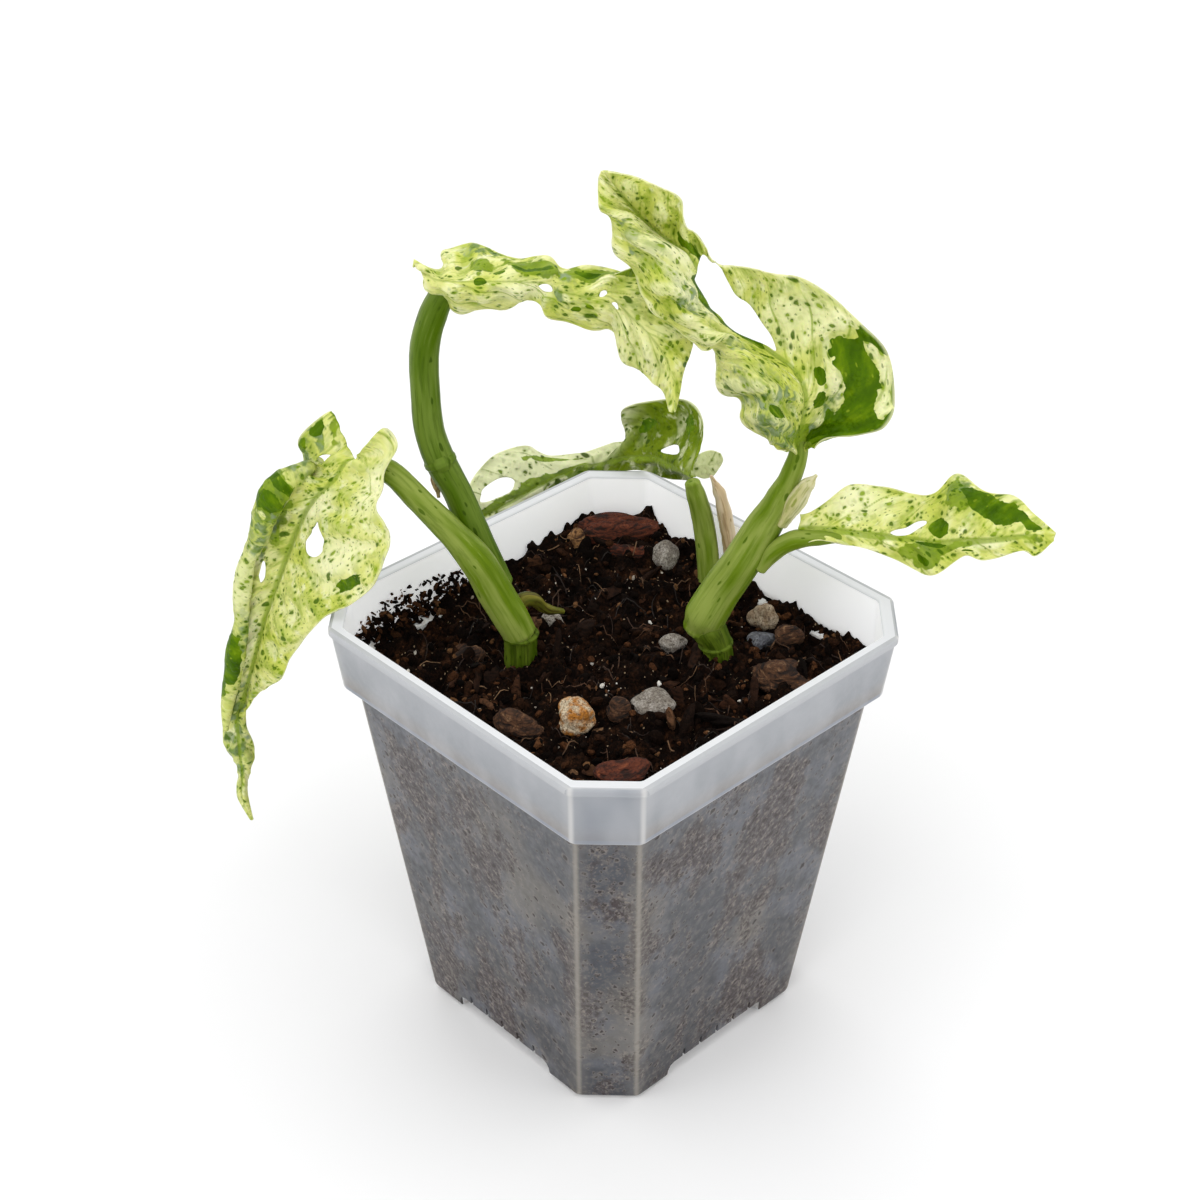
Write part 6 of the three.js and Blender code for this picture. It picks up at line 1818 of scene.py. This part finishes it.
# Top leaf
# The largest leaf, folded along its midrib, its tip in the air over the pot. A puckered knob stands at
# its left base, the right base is solid green, and one long opening lies beside the midrib.
top_leaf = {
    "seed": 51, "sweep": 1.3, "crimp": 0.38,
    "dark": [
        (1.6, 0.75, 1.3, 0.45), (3.2, 0.66, 1.1, 0.28), (4.3, 0.92, 0.5, 0.12), (3.2, 0.98, 0.5, 0.07),
        (8.1, -0.1, 0.9, 0.1), (7.0, -0.05, 1.1, 0.07), (9.6, 0.3, 0.7, 0.14), (6.1, -0.02, 0.8, 0.06),
        (2.7, 0.2, 0.4, 0.1), (3.5, 0.25, 0.25, 0.08), (2.1, -0.4, 0.25, 0.08), (5.5, 0.42, 0.2, 0.05),
        (1.1, 0.4, 0.5, 0.2),
    ],
    "grey": [
        (2.7, -0.4, 1.2, 0.22), (3.3, -0.75, 0.9, 0.2), (1.2, -0.5, 0.9, 0.4), (5.2, -0.4, 0.5, 0.2),
        (1.9, 0.35, 0.9, 0.2), (7.8, -0.35, 0.9, 0.16), (10, -0.6, 1.2, 0.2, 0.7),
    ],
    "fresh": [(0.8, 0.1, 0.8, 0.3), (0.5, 0.8, 0.7, 0.5)],
    "dense": [
        (5.2, 0.6, 1.0, 0.35), (4.8, 0.2, 0.8, 0.2), (9.5, -0.3, 2, 0.4), (10.5, 0.5, 1.8, 0.4),
        (2.5, -0.6, 1.2, 0.3, 0.6),
    ],
    "pale": [
        (5.3, 0.55, 0.8, 0.35, 0.8), (8.2, -0.3, 0.9, 0.15), (10.0, -0.2, 1.2, 0.2), (4.9, 0.85, 0.3, 0.1),
        (3.5, 0.9, 0.36, 0.06), (2.75, 0.87, 0.42, 0.08), (3.95, 0.84, 0.22, 0.05), (3.0, 0.42, 0.5, 0.08),
    ],
    "quilt": [(3.1, -0.5, 1.9, 0.5, 0.8), (8, -0.5, 3.0, 0.5, 0.8)],
    "pucker": 0.6,
    "ruffle": 0.6,
    "rows": [
        [[32.5, 3, 132], [34.5, 7, 130], [36, 10, 127.5], [37.5, 9, 129.5], [39, 7, 131]],
        [[28.5, 5, 134], [31.5, -1, 138], [36, 9, 131.5], [40, 10, 132], [44, 8, 133]],
        [[24.5, 6, 138], [29, -4, 144.5], [36.5, 8, 137], [43, 10, 136], [52, 6, 136]],
        [[23.5, 7, 141.5], [28, -4, 149.5], [36.5, 7, 142.5], [44, 9, 143], [54, 9, 141]],
        [[20, 7, 144.5], [25, -2, 154], [34.5, 8, 147], [41, 9, 152], [51.5, 9, 151.5]],
        [[18.5, 6, 152], [22, 1, 156], [30, 9, 150.5], [36.5, 10, 157], [44, 8, 159.5]],
        [[16, 5, 154], [19, 2, 157.5], [25, 9, 154], [30, 10, 160], [35, 8, 166.5]],
        [[10.5, 3, 159], [15, 1, 162], [20, 8, 158], [25, 10, 163], [27.5, 8, 168]],
        [[6.5, 2, 164], [11, -3, 167], [17, 7, 163], [19.5, 9, 166], [20.5, 8, 169]],
        [[2.5, 2, 170.5], [8, -4, 174.5], [15, 5, 170], [16.5, 7, 171.5], [17, 6, 173]],
        [[0, 2, 176], [5, -3, 179], [12, 4, 174], [12.8, 3.5, 177], [14, 2, 178.5]],
        [[-1.5, 1, 181.5], [2, -1, 182.5], [6.5, 4, 178.5], [10, 1, 182.5], [12, -2, 184]],
        [[-3, 0, 185], [-1, 0, 185], [2.5, 3, 183.5], [6.5, 0, 186.5], [10, -3, 188.5]],
        [[-3, 0, 189.5], [-2, 0.5, 189], [-0.5, 2, 188], [1.5, 0.5, 189.5], [4.5, -1, 190]],
        [[-2.6, 0, 191], [-2.3, 0.1, 191], [-2, 0.2, 191], [-1.7, 0.1, 191], [-1.4, 0, 191]],
    ],
    "holes": [[
        (9.0, 0.6), (8.38, 0.96), (8.0, 0.7), (7.38, 0.4), (6.62, 0.35), (5.88, 0.25), (5.25, 0.12),
        (5.0, 0.05),
        (5.38, 0.04), (5.88, 0.0), (6.38, -0.05), (7.12, 0.03), (7.75, -0.04), (8.38, -0.1), (8.75, -0.05),
        (9.12, 0.15),
    ]],
}
leaf_piece("top_leaf", "leaf_top", [blade(top_leaf)], cream_leaf)

# Right leaf
# Held out level over the right corner of the pot by the side stalk, cream with solid green near its
# tip, and the middle of its upper margin curled over.
right_leaf = {
    "seed": 61, "sweep": 1.6,
    "dark": [
        (6.9, -0.64, 0.75, 0.24), (7.8, -0.52, 0.8, 0.26), (8.7, -0.35, 0.5, 0.2), (5.25, -0.2, 0.42, 0.12),
        (4.8, 0.06, 0.7, 0.05), (4.4, 0.62, 0.32, 0.12), (6.2, 0.6, 0.3, 0.08),
    ],
    "grey": [(6.0, -0.8, 0.6, 0.25, 0.8)],
    "fresh": [
        (4.4, 0.55, 0.8, 0.3), (6.1, -0.6, 0.5, 0.25), (5.2, 0.2, 1.2, 0.2), (9.0, 0.4, 1.0, 0.5, 0.6),
        (3.7, 0.35, 1.3, 0.6, 0.42),
    ],
    "dense": [(2.4, -0.3, 1.6, 0.7), (7.5, 0.3, 1.2, 0.5, 0.6), (3.5, 0.2, 1.2, 0.4, 0.8)],
    "pale": [(2.1, -0.65, 1.0, 0.3), (6.8, 0.2, 0.8, 0.2)],
    "pucker": 0.5,
    "ruffle": 0.5,
    "rows": [
        [[37.5, 8, 114.5], [37, 7, 114], [36.5, 6, 112.5], [36.5, 5, 111.5], [37, 5, 110.5]],
        [[42, 9, 117.5], [42.5, 7, 115.5], [42.5, 5, 113.5], [42.5, 4, 112.5], [42.5, 3, 112]],
        [[47, 12, 119.5], [47, 8, 116.5], [47.5, 4, 113.5], [47, 3, 112.5], [47.5, 2, 111.5]],
        [[53, 11, 120], [53, 7, 117], [53, 2, 114], [53, 1, 112.5], [52.5, 0, 111]],
        [[59, 8, 120], [58.5, 5, 117.5], [58, 0, 114.5], [58.5, -2, 113], [59, -3, 109.5]],
        [[62.5, 5, 122], [62.5, 3, 119.5], [63, -3, 115.5], [63, -5, 113], [62.5, -6, 110]],
        [[67, 6, 125.5], [66.5, 0, 123.5], [67.5, -5, 117.5], [67.5, -6, 116], [67.5, -7, 115]],
        [[72, 1, 125], [71.5, -3, 122.5], [72, -8, 119.5], [72, -9, 117.5], [71, -10, 116]],
        [[77, -3, 126], [76.5, -6, 124], [76.5, -10, 121.5], [76.5, -11, 120], [77.5, -12, 119.5]],
        [[80.5, -7, 124.5], [80.5, -9, 123.5], [80.5, -11, 122.5], [80.5, -12, 120], [80, -13, 119]],
        [
            [83.7, -11.6, 123.4], [83.6, -11.8, 123.2], [83.5, -12, 123], [83.4, -12.2, 122.8],
            [83.3, -12.4, 122],
        ],
    ],
    "holes": [[
        (3.25, -0.1), (3.5, -0.19), (3.85, -0.23), (4.2, -0.31), (4.6, -0.34), (4.66, -0.28), (4.35, -0.2),
        (4.0, -0.1),
        (3.7, -0.06), (3.4, -0.05),
    ]],
}
leaf_piece("right_leaf", "leaf_right", [blade(right_leaf)], cream_leaf)

# Back leaf
# Nearly all green. Its wide basal lobe stands up, a small round ear closes its base, and the blade
# lies over the back corner of the rim.
green_leaf = leaf_finish(
    "variegated_green",
    ground=(paint(124, 144, 24), paint(96, 118, 2), paint(240, 242, 198)),
    haze=paint(92, 118, 2), dark=paint(60, 84, 1), share=0.4,
)
back_leaf = {
    "seed": 71, "sweep": 1.1, "across_cells": 64, "crimp": 0.2,
    "dark": [
        (3.2, -0.5, 0.35, 0.14, 0.8), (1.6, -0.65, 0.35, 0.14, 0.8), (9.5, 0.8, 1.8, 0.2),
        (6.6, 0.3, 1.2, 0.2),
    ],
    "fresh": [
        (7.0, 0.4, 1.8, 0.4), (11.0, 0.5, 1.5, 0.3), (9.0, -0.1, 2.6, 0.1), (8.2, -0.6, 1.2, 0.08),
        (11.5, -0.1, 1.4, 0.1),
    ],
    "pale": [
        (9.5, -0.3, 4.2, 0.9), (5.0, -0.85, 1.2, 0.25, 0.8), (12.5, 0.3, 2.4, 0.9), (6.8, -0.7, 1.5, 0.4),
    ],
    "rib_side": 1,
    "pucker": 0.4,
    "ruffle": 0.4,
    "rows": [
        [[18, 39, 111.5], [17, 36, 110.5], [16, 34, 108], [17, 35, 106.5], [17.5, 36, 105]],
        [[19, 44, 115.5], [16.5, 42, 111.5], [12, 44, 105], [13.5, 46, 102], [14.5, 46, 100.5]],
        [[15.5, 50, 117.5], [14, 50, 111], [8, 52, 102.5], [8.5, 52, 100], [9, 52, 98]],
        [[9, 55, 115], [8, 55, 109], [3, 57, 99.5], [3.5, 58, 97.5], [4, 58.5, 95.5]],
        [[1.5, 58, 110.5], [3.5, 58, 106], [-0.5, 59, 97.5], [0, 59.5, 96], [0.5, 60, 94]],
        [[3, 60, 102.5], [1, 59.5, 100], [-2.5, 59.5, 96.5], [-2.5, 60, 94.5], [-2, 60, 93]],
        [[-1, 61.5, 100.5], [-2.5, 60.5, 98.5], [-5, 60, 95.5], [-5, 61, 93.5], [-4.5, 61, 92]],
        [[-7.5, 62, 97.5], [-7, 61, 96.5], [-7.5, 60, 95.5], [-7, 61, 93], [-6.5, 62, 90]],
        [[-14.5, 60, 98.5], [-13.5, 58, 97.5], [-12, 57, 94.5], [-11, 59, 91], [-10, 61, 87]],
        [[-20, 57, 102], [-18.5, 55, 99.5], [-16.5, 53, 94.5], [-15, 55, 90.5], [-13, 57, 86]],
        [[-25, 53, 103], [-23, 51, 99.5], [-20.5, 50, 93.5], [-19, 51, 90], [-17.5, 53, 85]],
        [[-29, 49, 101.5], [-27.5, 47, 98], [-25, 46, 93], [-23, 47, 90], [-22, 49, 85.5]],
        [[-31.5, 44, 99], [-30.5, 43, 97], [-28.5, 43, 92.5], [-27, 43, 90], [-25.5, 45, 86]],
        [[-33, 41, 95.5], [-32.5, 41, 93.5], [-31.5, 41, 91.5], [-30.5, 41, 90], [-29.5, 42, 87.5]],
        [[-35.4, 40, 89], [-35.2, 40, 88.8], [-35, 40, 88.5], [-34.8, 40, 88.2], [-34.6, 40, 88]],
    ],
    "lobes": (0.8, 0.4),
    "holes": [
        [
            (1.9, -0.15), (1.82, -0.25), (1.5, -0.32), (1.15, -0.31), (1.05, -0.26), (1.35, -0.18),
            (1.65, -0.14),
        ],
        [
            (11.75, -0.36), (11.2, -0.5), (10.6, -0.5), (10.15, -0.4), (9.95, -0.28), (10.3, -0.18),
            (10.9, -0.2), (11.5, -0.26),
        ],
    ],
}
back_ear = {
    "seed": 73, "sweep": 1.0, "row_cells": 14, "across_cells": 26, "crimp": 0.1, "rib": 0,
    "pale": [(1.5, 0, 6, 6, 0.8)],
    "pucker": 0,
    "ruffle": 0.2,
    "rows": [
        [[16.5, 36, 107.5], [16.5, 36.5, 109], [17, 37, 110.5]],
        [[19, 38, 105.5], [19, 38, 109], [18.5, 38.5, 111.5]],
        [[21, 39, 105.5], [21, 39, 108.5], [20.5, 39.5, 111.5]],
        [[22.5, 40, 107.5], [23, 40, 109], [22.5, 40, 110.5]],
    ],
}
leaf_piece("back_leaf", "leaf_back", [blade(back_leaf), blade(back_ear)], green_leaf)

# Finish
# The colours are shown as they are, with no film curve.
bpy.context.scene.view_settings.view_transform = "Standard"
